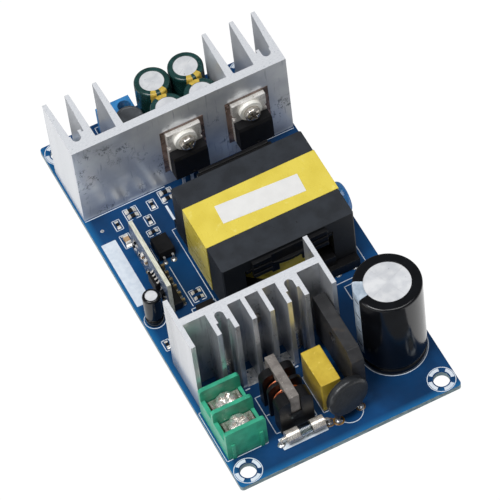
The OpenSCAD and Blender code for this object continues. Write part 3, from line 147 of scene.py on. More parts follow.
def across(tree: Tree, axis: Axis = Axis.Z) -> Socket:
    """Tells the faces that lie across a direction from the others.

    Args:
        tree: Node tree that takes the nodes.
        axis: The direction.

    Returns:
        One on the faces across the direction and zero on the others.
    """
    normal = add(tree, "NewGeometry").outputs["True Normal"]
    share = add(tree, "SeparateXYZ", links={"Vector": normal}).outputs[axis.value]
    size = add(tree, "Math", {"operation": "ABSOLUTE"}, {0: share}).outputs[0]
    return add(tree, "ValToRGB", {"stops": ((FACING[0], 0.0), (FACING[1], 1.0))},
               {"Fac": size}).outputs["Color"]


@dataclass(frozen=True)
class Mark:
    """Spots of another colour on a finish, such as specks, stains or scuffs.

    Attributes:
        colour: Colour of the spots.
        size: Size of a spot.
        level: Noise level above which a spot shows, 0.5 for half the surface.
        soft: Width of the spot's rim in noise levels.
        stretch: Factors on the frequency along X, Y and Z.
        patch: Size of the areas that hold the spots, or nought where they lie all over.
        thin: Whether only the rim of a spot shows, as a scribbled line.
        area: Noise levels between which such an area fades in.
    """

    colour: str
    size: float
    level: float
    soft: float = 0.03
    stretch: Triple = (1, 1, 1)
    patch: float = 0.0
    thin: bool = False
    area: Point = (0.54, 0.62)

    def over(self, tree: Tree, place: Socket, tone: Socket) -> Socket:
        """Lays the spots over a tone.

        Args:
            tree: Node tree that takes the nodes.
            place: Object coordinates.
            tone: Colour below the spots.

        Returns:
            The spotted colour.
        """
        stops = ((self.level, 0.0), (self.level + self.soft, 1.0))
        if self.thin:
            stops += ((self.level + 2 * self.soft, 0.0),)
        spots = add(tree, "ValToRGB", {"stops": stops},
                    {"Fac": mottle(tree, place, self.size, self.stretch)}).outputs["Color"]
        if self.patch:
            area = add(tree, "ValToRGB", {"stops": ((self.area[0], 0.0), (self.area[1], 1.0))},
                       {"Fac": mottle(tree, place, self.patch)}).outputs["Color"]
            spots = add(tree, "Math", {"operation": "MULTIPLY"}, {0: spots, 1: area}).outputs[0]
        return add(tree, "Mix", {"data_type": "RGBA", OVER: linear(self.colour)},
                   {0: spots, UNDER: tone}).outputs[MIXED]


@dataclass(frozen=True)
class Finish:
    """One real material with the process that gave it its surface.

    Attributes:
        name: Material name.
        colour: Main colour.
        shade: Colour that clouds the main one.
        cloud: Size of the clouds.
        rough: Mean roughness.
        swing: How far the roughness swings to either side.
        grain: Size of the surface grain.
        relief: Height of the grain in micrometres.
        stretch: Factors on the grain's frequency along X, Y and Z.
        marks: Spots that lie on the finish.
        edge: Radius that softens the edges.
        metallic: Share of bare metal; a dull skin of oxide or tin scatters the rest.
        gloss: Specular level, half for a plain smooth surface.
        coat: Weight of a clear gloss layer.
        coat_rough: Roughness of that layer.
        clear: Share of the light that passes through.
        turned: Strength of the ring-shaped sheen of a turned or spun face.
        shift: Noise levels between which the shade gives way to the main colour.
    """

    name: str
    colour: str
    shade: str
    cloud: float = 5.0
    rough: float = 0.45
    swing: float = 0.08
    grain: float = 0.25
    relief: float = 6.0
    stretch: Triple = (1, 1, 1)
    marks: tuple[Mark, ...] = ()
    edge: float = 0.1
    metallic: float = 0.0
    gloss: float = 0.5
    coat: float = 0.0
    coat_rough: float = 0.12
    clear: float = 0.0
    turned: float = 0.0
    shift: Point = (0.36, 0.62)

    def material(self) -> bpy.types.Material:
        """Returns the material, made on its first use."""
        made = bpy.data.materials.get(self.name)
        if made is None:
            made = bpy.data.materials.new(self.name)
            made.use_nodes = True
            made.node_tree.nodes.clear()
            add(made.node_tree, "OutputMaterial",
                links={"Surface": self.shader(made.node_tree).outputs["BSDF"]})
        return made

    def shader(self, tree: Tree) -> bpy.types.Node:
        """Builds the surface.

        Args:
            tree: Node tree of the material.

        Returns:
            The finished surface shader.
        """
        place = add(tree, "TexCoord").outputs["Object"]
        grain = self.texture(tree, place)
        rough = add(tree, "MapRange", {
            "From Min": NOISE_SPAN[0], "From Max": NOISE_SPAN[1],
            "To Min": self.rough - self.swing, "To Max": self.rough + self.swing,
        }, {"Value": grain}).outputs[0]
        soft = add(tree, "Bevel", {"samples": 4, "Radius": self.edge * MM}).outputs["Normal"]
        bump = add(tree, "Bump", {"Distance": self.relief * MICRON},
                   {"Height": grain, "Normal": soft}).outputs["Normal"]
        made = add(tree, "BsdfPrincipled", {
            "Metallic": self.metallic, "Specular IOR Level": self.gloss,
            "Coat Weight": self.coat, "Coat Roughness": self.coat_rough,
            "Transmission Weight": self.clear, "Anisotropic": self.turned,
        }, {"Base Color": self.tint(tree, place), "Roughness": rough, "Normal": bump})
        if self.turned:
            rings = add(tree, "Tangent", {"direction_type": "RADIAL", "axis": "Z"})
            tree.links.new(rings.outputs["Tangent"], made.inputs["Tangent"])
        return made

    def texture(self, tree: Tree, place: Socket) -> Socket:
        """Returns the height of the surface grain."""
        return mottle(tree, place, self.grain, self.stretch)

    def tint(self, tree: Tree, place: Socket) -> Socket:
        """Builds the clouded and spotted colour.

        Args:
            tree: Node tree of the material.
            place: Object coordinates.

        Returns:
            The colour.
        """
        stops = ((self.shift[0], self.shade), (self.shift[1], self.colour))
        tone = add(tree, "ValToRGB", {"stops": stops},
                   {"Fac": mottle(tree, place, self.cloud)}).outputs["Color"]
        for mark in self.marks:
            tone = mark.over(tree, place, tone)
        return tone


@dataclass(frozen=True)
class Laminate(Finish):
    """Solder mask on both faces of a glass-cloth laminate that shows bare at its routed edge.

    Attributes:
        fibre: Colour of the bare edge.
        fibre_shade: Colour between the plies of the bare edge.
        ply: Thickness of a ply.
        drawn: Factor on the plies' frequency along the sheet.
        axis: Direction across the sheet.
        edge_glow: Paler colour of a margin where no copper lies below: painted light that stands
            for light coming through the laminate.
        edge_glows: For each margin the direction across it, its edge and where the painted light
            has faded.
    """

    fibre: str = "#8fa3a6"
    fibre_shade: str = "#5f7480"
    ply: float = 0.2
    drawn: float = 0.12
    axis: Axis = Axis.Z
    edge_glow: str = "#176399"
    edge_glows: tuple[tuple[Axis, float, float], ...] = ()

    def tint(self, tree: Tree, place: Socket) -> Socket:
        """Builds the mask colour with the fibrous edge and the margins painted paler as painted
        light.

        Args:
            tree: Node tree of the material.
            place: Object coordinates.

        Returns:
            The colour.
        """
        stretch = [1.0 if axis is self.axis else self.drawn for axis in Axis]
        plies = add(tree, "ValToRGB", {"stops": ((0.42, self.fibre_shade), (0.58, self.fibre))},
                    {"Fac": mottle(tree, place, self.ply, stretch)}).outputs["Color"]
        mask = super().tint(tree, place)
        # Painted light: each margin fades in a paler colour that stands for light coming through.
        for axis, edge, end in self.edge_glows:
            along = add(tree, "SeparateXYZ", links={"Vector": place}).outputs[axis.value]
            fade = add(tree, "MapRange", {"From Min": edge * MM, "From Max": end * MM,
                                          "To Min": 1.0, "To Max": 0.0}, {"Value": along})
            mask = add(tree, "Mix", {"data_type": "RGBA", OVER: linear(self.edge_glow)},
                       {0: fade.outputs[0], UNDER: mask}).outputs[MIXED]
        return add(tree, "Mix", {"data_type": "RGBA"},
                   {0: across(tree, self.axis), UNDER: plies, OVER: mask}).outputs[MIXED]


@dataclass(frozen=True)
class Extrusion(Finish):
    """Extruded aluminium: die lines down the walls, saw marks across the cut ends.

    Attributes:
        cut: Colour of the sawn ends.
        cut_shade: Colour in the furrows of the saw.
        side: Colour of the walls that face left or right, painted shade that sets how bright they
        look, clouded with the cut colour.
        tooth: Width of a saw furrow, drawn coarser than the real 0.1 so that it shows.
        furrow: Factors on the furrows' frequency along X, Y and Z.
        dull: Share of bare metal on the sawn ends, which scatter more than the plate.
        wall: How far the side walls go from the plate's share of bare metal to that of the ends.
        pits: Torn spots on the sawn ends.
    """

    cut: str = "#e9ebef"
    cut_shade: str = "#dcdfe4"
    side: str = "#b4b8bf"
    tooth: float = 0.2
    furrow: Triple = (0.3, 1, 1)
    dull: float = 0.2
    wall: float = 1.0
    pits: Mark = Mark("#c2c6cd", 0.4, 0.64, 0.06)

    def shader(self, tree: Tree) -> bpy.types.Node:
        """Builds the surface with ends and side walls that are duller than the plate.

        Args:
            tree: Node tree of the material.

        Returns:
            The finished surface shader.
        """
        made = super().shader(tree)
        dull = add(tree, "Math", {"operation": "MULTIPLY_ADD", 1: self.wall},
                   {0: across(tree, Axis.X), 2: across(tree)}).outputs[0]
        share = add(tree, "MapRange", {"To Min": self.metallic, "To Max": self.dull},
                    {"Value": dull}).outputs[0]
        tree.links.new(share, made.inputs["Metallic"])
        return made

    def tint(self, tree: Tree, place: Socket) -> Socket:
        """Builds the wall colour with paler cut ends and painted shade on the walls facing left or
        right.

        Args:
            tree: Node tree of the material.
            place: Object coordinates.

        Returns:
            The colour.
        """
        ends = add(tree, "ValToRGB", {"stops": ((0.4, self.cut_shade), (0.6, self.cut))},
                   {"Fac": mottle(tree, place, self.tooth, self.furrow)}).outputs["Color"]
        ends = self.pits.over(tree, place, ends)
        # Painted shade: the walls that face left or right are clouded towards the side colour.
        side_dust_and_shade = add(tree, "Mix", {"data_type": "RGBA", OVER: linear(self.side)},
                    {0: mottle(tree, place, self.cloud, self.stretch), UNDER: ends}).outputs[MIXED]
        walls = add(tree, "Mix", {"data_type": "RGBA"}, {
            0: across(tree, Axis.X), UNDER: super().tint(tree, place), OVER: side_dust_and_shade}).outputs[MIXED]
        return add(tree, "Mix", {"data_type": "RGBA"},
                   {0: across(tree), UNDER: walls, OVER: ends}).outputs[MIXED]

    def texture(self, tree: Tree, place: Socket) -> Socket:
        """Builds the die lines of the walls and the saw furrows of the cut ends.

        Args:
            tree: Node tree of the material.
            place: Object coordinates.

        Returns:
            The height of the surface.
        """
        return add(tree, "Mix", {"data_type": "RGBA"}, {
            0: across(tree), UNDER: super().texture(tree, place),
            OVER: mottle(tree, place, self.tooth, self.furrow)}).outputs[MIXED]


@dataclass(frozen=True)
class SideShaded(Finish):
    """Sintered ferrite: faces across Z dusty, the others clouded darker as painted shade.

    Attributes:
        skin: Dark colour that clouds the faces not across Z, as painted shade.
    """

    skin: str = "#07080a"

    def tint(self, tree: Tree, place: Socket) -> Socket:
        """Builds the colour with the sides painted darker as painted shade.

        Args:
            tree: Node tree of the material.
            place: Object coordinates.

        Returns:
            The colour.
        """
        tone = super().tint(tree, place)
        # Painted shade: the faces not across Z are clouded towards the dark skin colour.
        shaded_sides = add(tree, "Mix", {"data_type": "RGBA", OVER: linear(self.skin)},
                    {0: mottle(tree, place, self.cloud), UNDER: tone}).outputs[MIXED]
        return add(tree, "Mix", {"data_type": "RGBA"},
                   {0: across(tree), UNDER: shaded_sides, OVER: tone}).outputs[MIXED]


# Screen-printed mask over glass cloth: deep blue, wet-looking, faintly mottled by the copper below.
# Its left and front margins are painted paler, painted light that stands for light coming through.
BLUE_MASK = Laminate(
    "solder_mask_on_glass_laminate", "#083f70", "#053057", cloud=16, rough=0.4, grain=0.5,
    relief=4, gloss=0.22, edge=0.05, edge_glows=((Axis.X, -32.5, -30.3), (Axis.Y, -62.5, -60.4)),
    marks=(Mark("#0e4c82", 26, 0.56, 0.12), Mark("#5d86a8", 0.14, 0.76, 0.02)))
# Bare mill finish: bright cut ends, soft grey walls with smudges and scribbled dark scuffs; the
# walls that face left or right are clouded with painted shade.
MILL_ALUMINIUM = Extrusion(
    "aluminium_extruded_mill_finish", "#e6e9ed", "#c9cdd4", cloud=11, rough=0.25, swing=0.02,
    grain=0.2, relief=1, stretch=(1, 1, 0.03), metallic=0.5, edge=0.12,
    marks=(Mark("#b9bdc5", 0.9, 0.6, 0.1, (1, 1, 0.1)),
           Mark("#878b93", 1.4, 0.57, 0.1, (1, 1, 0.7), 9),
           Mark("#3a3e45", 1.6, 0.53, 0.025, (1, 1, 0.8), 9, True)))
# The same alloy, glossier: walls that mirror the board. Its colours, the side colour most of all,
# are painted darker as painted shade of the front heatsink's narrow bays.
SHADED_ALUMINIUM = Extrusion(
    "aluminium_extruded_glossy_painted_shade", "#dcdfe3", "#bcc0c6", cloud=9, rough=0.2, swing=0.03,
    grain=0.25, relief=1, stretch=(1, 1, 0.03), metallic=0.66, edge=0.12, side="#666a71", wall=0.5,
    marks=(Mark("#b4b8bd", 0.7, 0.58, 0.1, (1, 1, 0.08)),
           Mark("#4a4e54", 1.1, 0.53, 0.02, (1, 1, 0.8), 7, True)))
# Zinc plate on cold-headed steel: warm white metal, finely pebbled, with a dull bloom.
ZINC_STEEL = Finish(
    "steel_cold_headed_zinc_plated", "#f6f3ee", "#d9d3cb", cloud=0.9, rough=0.22, grain=0.4,
    relief=5, metallic=0.75, edge=0.05, marks=(Mark("#a39888", 0.5, 0.67, 0.06),))
# The same plate, bright-dipped: a mirror that holds the dark bodies and the board around it.
BRIGHT_ZINC = Finish(
    "steel_cold_headed_zinc_bright", "#d8d2ca", "#9d958a", cloud=0.9, rough=0.16, grain=0.4,
    relief=5, metallic=0.82, edge=0.05, marks=(Mark("#7d7468", 0.5, 0.67, 0.06),))
# Nickel plate on drawn brass: warm, mirror-bright, faintly wavy, as on a terminal's clamps.
NICKEL = Finish(
    "brass_drawn_nickel_plated", "#dcd6cd", "#aaa297", cloud=1.2, rough=0.2, grain=0.5, relief=10,
    metallic=0.8, edge=0.08, marks=(Mark("#a89d8e", 0.4, 0.66, 0.05),))
# The same plate on a fuse's cap, dulled by handling: paler, with brown spots.
DULL_NICKEL = Finish(
    "brass_drawn_nickel_plated_dull", "#ebe5dd", "#cbc3b9", cloud=1.4, rough=0.26, grain=0.3,
    relief=8, metallic=0.62, edge=0.15, marks=(Mark("#857a6b", 0.5, 0.66, 0.05),))
# Dip-tinned copper: soft silver with a slightly wavy, greyed skin.
TINNED = Finish(
    "copper_drawn_dip_tinned", "#cfd0d2", "#9fa2a6", cloud=0.9, rough=0.34, grain=0.2,
    metallic=0.55, edge=0.06)
# Tin plate on a stamped lead frame: pale, satin, a little warm, with handling smears.
TIN_PLATE = Finish(
    "copper_stamped_tin_plated", "#eae7e2", "#cdc9c3", cloud=2.4, rough=0.32, grain=0.3, relief=8,
    metallic=0.35, edge=0.12, marks=(Mark("#a39b92", 0.7, 0.64, 0.06),))
# The dip-tinned wire after soldering: amber flux dried over the tin.
FLUXED_TIN = Finish(
    "copper_drawn_dip_tinned_flux_stained", "#b8a474", "#7c6a46", cloud=0.8, rough=0.3, grain=0.2,
    metallic=0.6, edge=0.05)
# Wave solder: bright, wet-looking fillets with grey flux-dulled patches.
SOLDER = Finish(
    "solder_wave_set", "#d9dadc", "#a7aaaf", cloud=0.8, rough=0.24, swing=0.1, grain=0.3, relief=9,
    metallic=0.7, edge=0.05)
# Rosin flux dried on the board: amber, glassy, in a thin rim round a joint.
FLUX = Finish(
    "rosin_flux_dried", "#8c6b38", "#5f4724", cloud=0.7, rough=0.2, grain=0.3, relief=10, coat=0.4,
    edge=0.05)
# Rolled brass: warm yellow metal, streaked, tarnished to brown in spots.
BRASS = Finish(
    "brass_rolled_stamped", "#cfa75b", "#a67f3c", cloud=1.2, rough=0.32, grain=0.1,
    stretch=(1, 0.2, 1), metallic=0.6, marks=(Mark("#6e5227", 0.5, 0.67),))
# Enamelled magnet wire: orange-red copper under a thin clear varnish.
ENAMELLED = Finish(
    "copper_drawn_enamelled", "#dc7d52", "#b3552f", cloud=1.1, rough=0.3, grain=0.1, relief=3,
    metallic=0.6, coat=0.4, edge=0.03)
# Deep-drawn can aluminium: pale spun sheen that turns round the cap.
CAN = Finish(
    "aluminium_deep_drawn_spun", "#e5e6e8", "#d3d5d9", cloud=2.4, rough=0.4, grain=0.14, relief=4,
    metallic=0.2, turned=0.5, edge=0.2, marks=(Mark("#8d9095", 0.7, 0.7),))
# The furrow that scores a can's vent, laid flat on the top: slightly darker metal, painted shade of
# the groove.
VENT_SHADE = Finish(
    "aluminium_vent_painted_shade", "#d6d7da", "#cbccd0", cloud=0.5, rough=0.4, grain=0.1, metallic=0.3,
    edge=0.02)
# Transfer-moulded epoxy: matt charcoal with a fine sandy tooth from the mould.
EPOXY = Finish(
    "epoxy_transfer_moulded", "#161618", "#101012", cloud=2.5, rough=0.56, grain=0.12, relief=8,
    gloss=0.18, edge=0.15, marks=(Mark("#2e2e30", 0.14, 0.7),))
# The same epoxy after fluxing: paler, with brown stains dried in patches.
STAINED_EPOXY = Finish(
    "epoxy_transfer_moulded_flux_stained", "#2f2f31", "#222224", cloud=3, rough=0.5, swing=0.14,
    grain=0.15, relief=8, edge=0.3,
    marks=(Mark("#3b3530", 3.2, 0.57, 0.12), Mark("#54493f", 0.5, 0.68, 0.05)))
# Split mica: smoky brown glassy flakes.
MICA = Finish(
    "mica_split_sheet", "#806c63", "#4c4039", cloud=2.2, rough=0.2, grain=0.8, relief=3, coat=0.3,
    edge=0.02, marks=(Mark("#a98d80", 1.4, 0.62, 0.08),))
# Calendered silicone: soft grey-blue rubber with a cloth print.
SILICONE = Finish(
    "silicone_calendered_pad", "#9aa3a8", "#848d92", cloud=2, rough=0.7, grain=0.35, relief=12,
    edge=0.05)
# Moulded nylon, undyed: milky white with a low sheen.
WHITE_NYLON = Finish(
    "nylon_injection_moulded_natural", "#f5f4ee", "#e4e2d9", cloud=1.5, rough=0.4, grain=0.2,
    edge=0.12)
# Sintered power ferrite: blue-black, finely pored, dusty on top; its sides are painted darker as
# painted shade.
FERRITE = SideShaded(
    "ferrite_sintered_side_shaded", "#2e3238", "#25282d", cloud=4, rough=0.55, grain=0.18, relief=7,
    gloss=0.3, edge=0.15, marks=(Mark("#3a3d44", 0.22, 0.7), Mark("#121316", 0.5, 0.68)))
# Tumbled small ferrite: warm stone grey, dusty, with chipped darker pores.
GREY_FERRITE = Finish(
    "ferrite_sintered_tumbled", "#837d78", "#69635f", cloud=2.2, rough=0.55, grain=0.25, relief=10,
    edge=0.3, marks=(Mark("#5a5552", 0.4, 0.66), Mark("#a9a39c", 0.6, 0.66)))
# Moulded phenolic: deep black, satin, with resin flow marks.
PHENOLIC = Finish(
    "phenolic_compression_moulded", "#101012", "#0a0a0c", cloud=3, rough=0.34, grain=0.2, relief=5,
    gloss=0.3, edge=0.25, marks=(Mark("#1d1d20", 0.8, 0.64, 0.08),))
# Polyester film tape: saturated yellow, glossy, with trapped specks and soft wrinkles.
FILM_TAPE = Finish(
    "polyester_film_tape_wound", "#e6d256", "#dec94d", cloud=6, rough=0.3, grain=1.8, relief=12,
    coat=0.4, coat_rough=0.14, edge=0.2, stretch=(1, 0.5, 1),
    marks=(Mark("#a98d2c", 0.3, 0.72), Mark("#efe07a", 2.4, 0.66, 0.1)))
# Coated label paper: clean white with a faint fibre.
LABEL = Finish(
    "paper_label_coated", "#e6e5e3", "#e1e0de", cloud=3, rough=0.5, grain=0.12, relief=4, edge=0.03)
# Screen-printed ink: flat white, a little grainy.
INK = Finish(
    "epoxy_ink_screen_printed", "#d9e1ea", "#cdd7e2", cloud=1.4, rough=0.55, grain=0.1, edge=0.01,
    marks=(Mark("#b4c2d1", 0.2, 0.72),))
# Shrunk vinyl sleeve: glossy black, pulled tight, with a faint orange-peel.
BLACK_SLEEVE = Finish(
    "vinyl_heat_shrunk_black", "#0d0f13", "#08090c", cloud=4, rough=0.14, swing=0.05, grain=2.2,
    relief=8, gloss=0.4, edge=0.2, marks=(Mark("#14161a", 0.6, 0.66, 0.06),))
# The same sleeve in dark green.
GREEN_SLEEVE = Finish(
    "vinyl_heat_shrunk_green", "#1d4240", "#153532", cloud=3, rough=0.24, grain=1.2, relief=5,
    coat=0.2, coat_rough=0.1, edge=0.2, marks=(Mark("#264e4c", 0.6, 0.66, 0.08),))
# Mustard ink on a sleeve: flat, opaque, a little broken over the shoulder.
GOLD_INK = Finish(
    "vinyl_ink_printed_gold", "#cdb14c", "#b8993a", cloud=0.8, rough=0.4, grain=0.1, edge=0.02,
    marks=(Mark("#8f7a35", 0.2, 0.69),))
# Pale ink on a sleeve: blue-grey, scuffed into darker and paler flecks.
PALE_INK = Finish(
    "vinyl_ink_printed_pale", "#b9c5d1", "#97a6b5", cloud=2.2, rough=0.36, grain=0.2, edge=0.02,
    marks=(Mark("#74818f", 0.5, 0.66, 0.06), Mark("#dde4ea", 0.9, 0.66, 0.06)))
# Moulded polyamide, green: satin, with paler rubbed spots.
GREEN_NYLON = Finish(
    "polyamide_injection_moulded_green", "#37aa86", "#2c9374", cloud=3, rough=0.4, grain=0.22,
    edge=0.2, marks=(Mark("#52b68c", 0.7, 0.66, 0.06),))
# The same polyamide in bright blue.
BLUE_NYLON = Finish(
    "polyamide_injection_moulded_blue", "#3a8bcb", "#2f79b5", cloud=2.5, rough=0.4, grain=0.22,
    edge=0.2, marks=(Mark("#4c9ce2", 0.6, 0.66, 0.06),))
# Potted film capacitor box: mustard yellow, satin, a little waxy.
YELLOW_BOX = Finish(
    "polyester_box_moulded_yellow", "#cfb43e", "#c0a331", cloud=3, rough=0.36, grain=0.3, coat=0.2,
    edge=0.5, marks=(Mark("#b5962c", 0.4, 0.69), Mark("#e8d26a", 1.6, 0.64, 0.1)))
# Dipped epoxy, dark: thick, rounded, slightly dimpled.
DARK_DIP = Finish(
    "epoxy_dipped_dark", "#26282b", "#1b1d20", cloud=2, rough=0.42, grain=0.7, relief=18,
    coat=0.25, edge=0.3, marks=(Mark("#45484d", 0.5, 0.67),))
# Shrunk sleeve over a drum core: charcoal, dusty, with a soft sheen.
GREY_SLEEVE = Finish(
    "polyolefin_heat_shrunk_charcoal", "#53575c", "#44474c", cloud=2.4, rough=0.5, grain=0.4,
    relief=8, edge=0.3, marks=(Mark("#565a60", 0.4, 0.68),))
# Dipped epoxy, blue: thick glossy coat.
BLUE_DIP = Finish(
    "epoxy_dipped_blue", "#3a80c4", "#2c6cb0", cloud=2, rough=0.3, grain=0.8, relief=16, coat=0.4,
    edge=0.3, marks=(Mark("#4580c8", 0.6, 0.67),))
# Drawn soda-lime tube: clear, a little dusty.
GLASS = Finish(
    "glass_drawn_tube", "#f4f8f7", "#e8eeed", cloud=3, rough=0.04, swing=0.03, grain=0.6, relief=2,
    clear=1.0, edge=0.05)
# Routed laminate under a dark mask: slate blue with pale fibre patches, cream at its cut edge.
DARK_LAMINATE = Laminate(
    "glass_laminate_routed_dark", "#2b4263", "#1a2d47", cloud=4, rough=0.42, grain=0.4, coat=0.2,
    edge=0.05, fibre="#dcdccf", fibre_shade="#bfc0ae", axis=Axis.X,
    marks=(Mark("#62738e", 1.6, 0.54, 0.08), Mark("#b4bfcd", 0.6, 0.61, 0.03)))
# Barium-titanate ceramic: tan, matt, fine-grained.
TAN_CERAMIC = Finish(
    "ceramic_sintered_tan", "#b99a77", "#a08160", cloud=0.7, rough=0.6, grain=0.1, edge=0.05)


# ---------------------------------------------------------------- geometry

# Where a part without a place of its own lies.
HOME = Matrix.Identity(4)
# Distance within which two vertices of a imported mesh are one.
WELD = 0.001
# Height under which a vertex belongs to a lead's end, and the gap that parts two leads.
LEAD_END, LEAD_GAP = -1.0, 1.0
# How far a thin layer reaches into what carries it.
KEY = 0.01


class Crease(Enum):
    """Angle in degrees over which an edge of a piece stays sharp."""

    CRISP = 30.0
    PLAIN = 38.0
    ROUND = 60.0


@dataclass(frozen=True)
class Extent:
    """The box of a CAD node.

    Attributes:
        lo: Lowest corner.
        hi: Highest corner.
    """

    lo: Vector
    hi: Vector

    @classmethod
    def of(cls, node: str) -> "Extent":
        """Returns the box of a node."""
        lo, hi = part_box(node)
        return cls(lo / MM, hi / MM)

    @property
    def mid(self) -> Vector:
        """Returns the middle of the box."""
        return (self.lo + self.hi) / 2

    @property
    def size(self) -> Vector:
        """Returns the sides of the box."""
        return self.hi - self.lo


def dress(finish: Finish, *nodes: str) -> None:
    """Gives CAD nodes a finish.

    Args:
        finish: The finish.
        nodes: Names of the nodes.
    """
    for name in nodes:
        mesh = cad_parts[name].data
        mesh.materials.clear()
        mesh.materials.append(finish.material())


def islands(node: str) -> list[Extent]:
    """Measures the separate bodies of a node.

    Args:
        node: Name of the node.

    Returns:
        The box of each body.
    """
    mesh = bmesh.new()
    mesh.from_mesh(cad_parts[node].data)
    bmesh.ops.remove_doubles(mesh, verts=mesh.verts, dist=WELD * MM)
    left, found = set(mesh.verts), []
    while left:
        body, edge = set(), [next(v for v in mesh.verts if v in left)]
        while edge:
            vertex = edge.pop()
            if vertex in left:
                left.discard(vertex)
                body.add(vertex)
                edge.extend(e.other_vert(vertex) for e in vertex.link_edges)
        found.append(Extent(*(Vector([pick(v.co[i] for v in body) / MM for i in range(3)])
                              for pick in (min, max))))
    mesh.free()
    return sorted(found, key=lambda box: tuple(box.mid))


def tips(node: str) -> list[Point]:
    """Finds where the leads of a node come through the board.

    Args:
        node: Name of the node.

    Returns:
        The middle of each lead's end, in plan.
    """
    groups: list[list[Vector]] = []
    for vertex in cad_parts[node].data.vertices:
        point = vertex.co / MM
        if point.z < LEAD_END:
            near = [g for g in groups if any((p.xy - point.xy).length < LEAD_GAP for p in g)]
            joined = [point] + [p for g in near for p in g]
            groups = [g for g in groups if g not in near] + [joined]
    middles = [(sum((p.xy for p in g), Vector((0, 0)))) / len(g) for g in groups]
    return sorted((m.x, m.y) for m in middles)


def rounded(width: float, depth: float, radius: float, steps: int = 5) -> list[Point]:
    """Draws a rectangle with round corners.

    Args:
        width: Side along X.
        depth: Side along Y.
        radius: Corner radius.
        steps: Steps in a corner.

    Returns:
        The outline round the origin, anticlockwise.
    """
    quarters = ((1, 1, 0), (-1, 1, 90), (-1, -1, 180), (1, -1, 270))
    return [(sx * (width / 2 - radius) + radius * math.cos(math.radians(start + 90 * i / steps)),
             sy * (depth / 2 - radius) + radius * math.sin(math.radians(start + 90 * i / steps)))
            for sx, sy, start in quarters for i in range(steps + 1)]


def sector(inner: float, outer: float, start: float, end: float, steps: int = 24) -> list[Point]:
    """Draws part of a ring.

    Args:
        inner: Inner radius.
        outer: Outer radius.
        start: First angle in degrees.
        end: Last angle in degrees.
        steps: Steps along the arc.

    Returns:
        The outline round the origin, anticlockwise.
    """
    turns = [math.radians(start + (end - start) * i / steps) for i in range(steps + 1)]
    return ([(outer * math.cos(a), outer * math.sin(a)) for a in turns]
            + [(inner * math.cos(a), inner * math.sin(a)) for a in reversed(turns)])


def at(x: float, y: float, z: float = 0.0, turn: float = 0.0) -> Matrix:
    """Returns the place of a part on the board, turned about Z by degrees."""
    return Matrix.Translation((x, y, z)) @ Matrix.Rotation(math.radians(turn), 4, "Z")


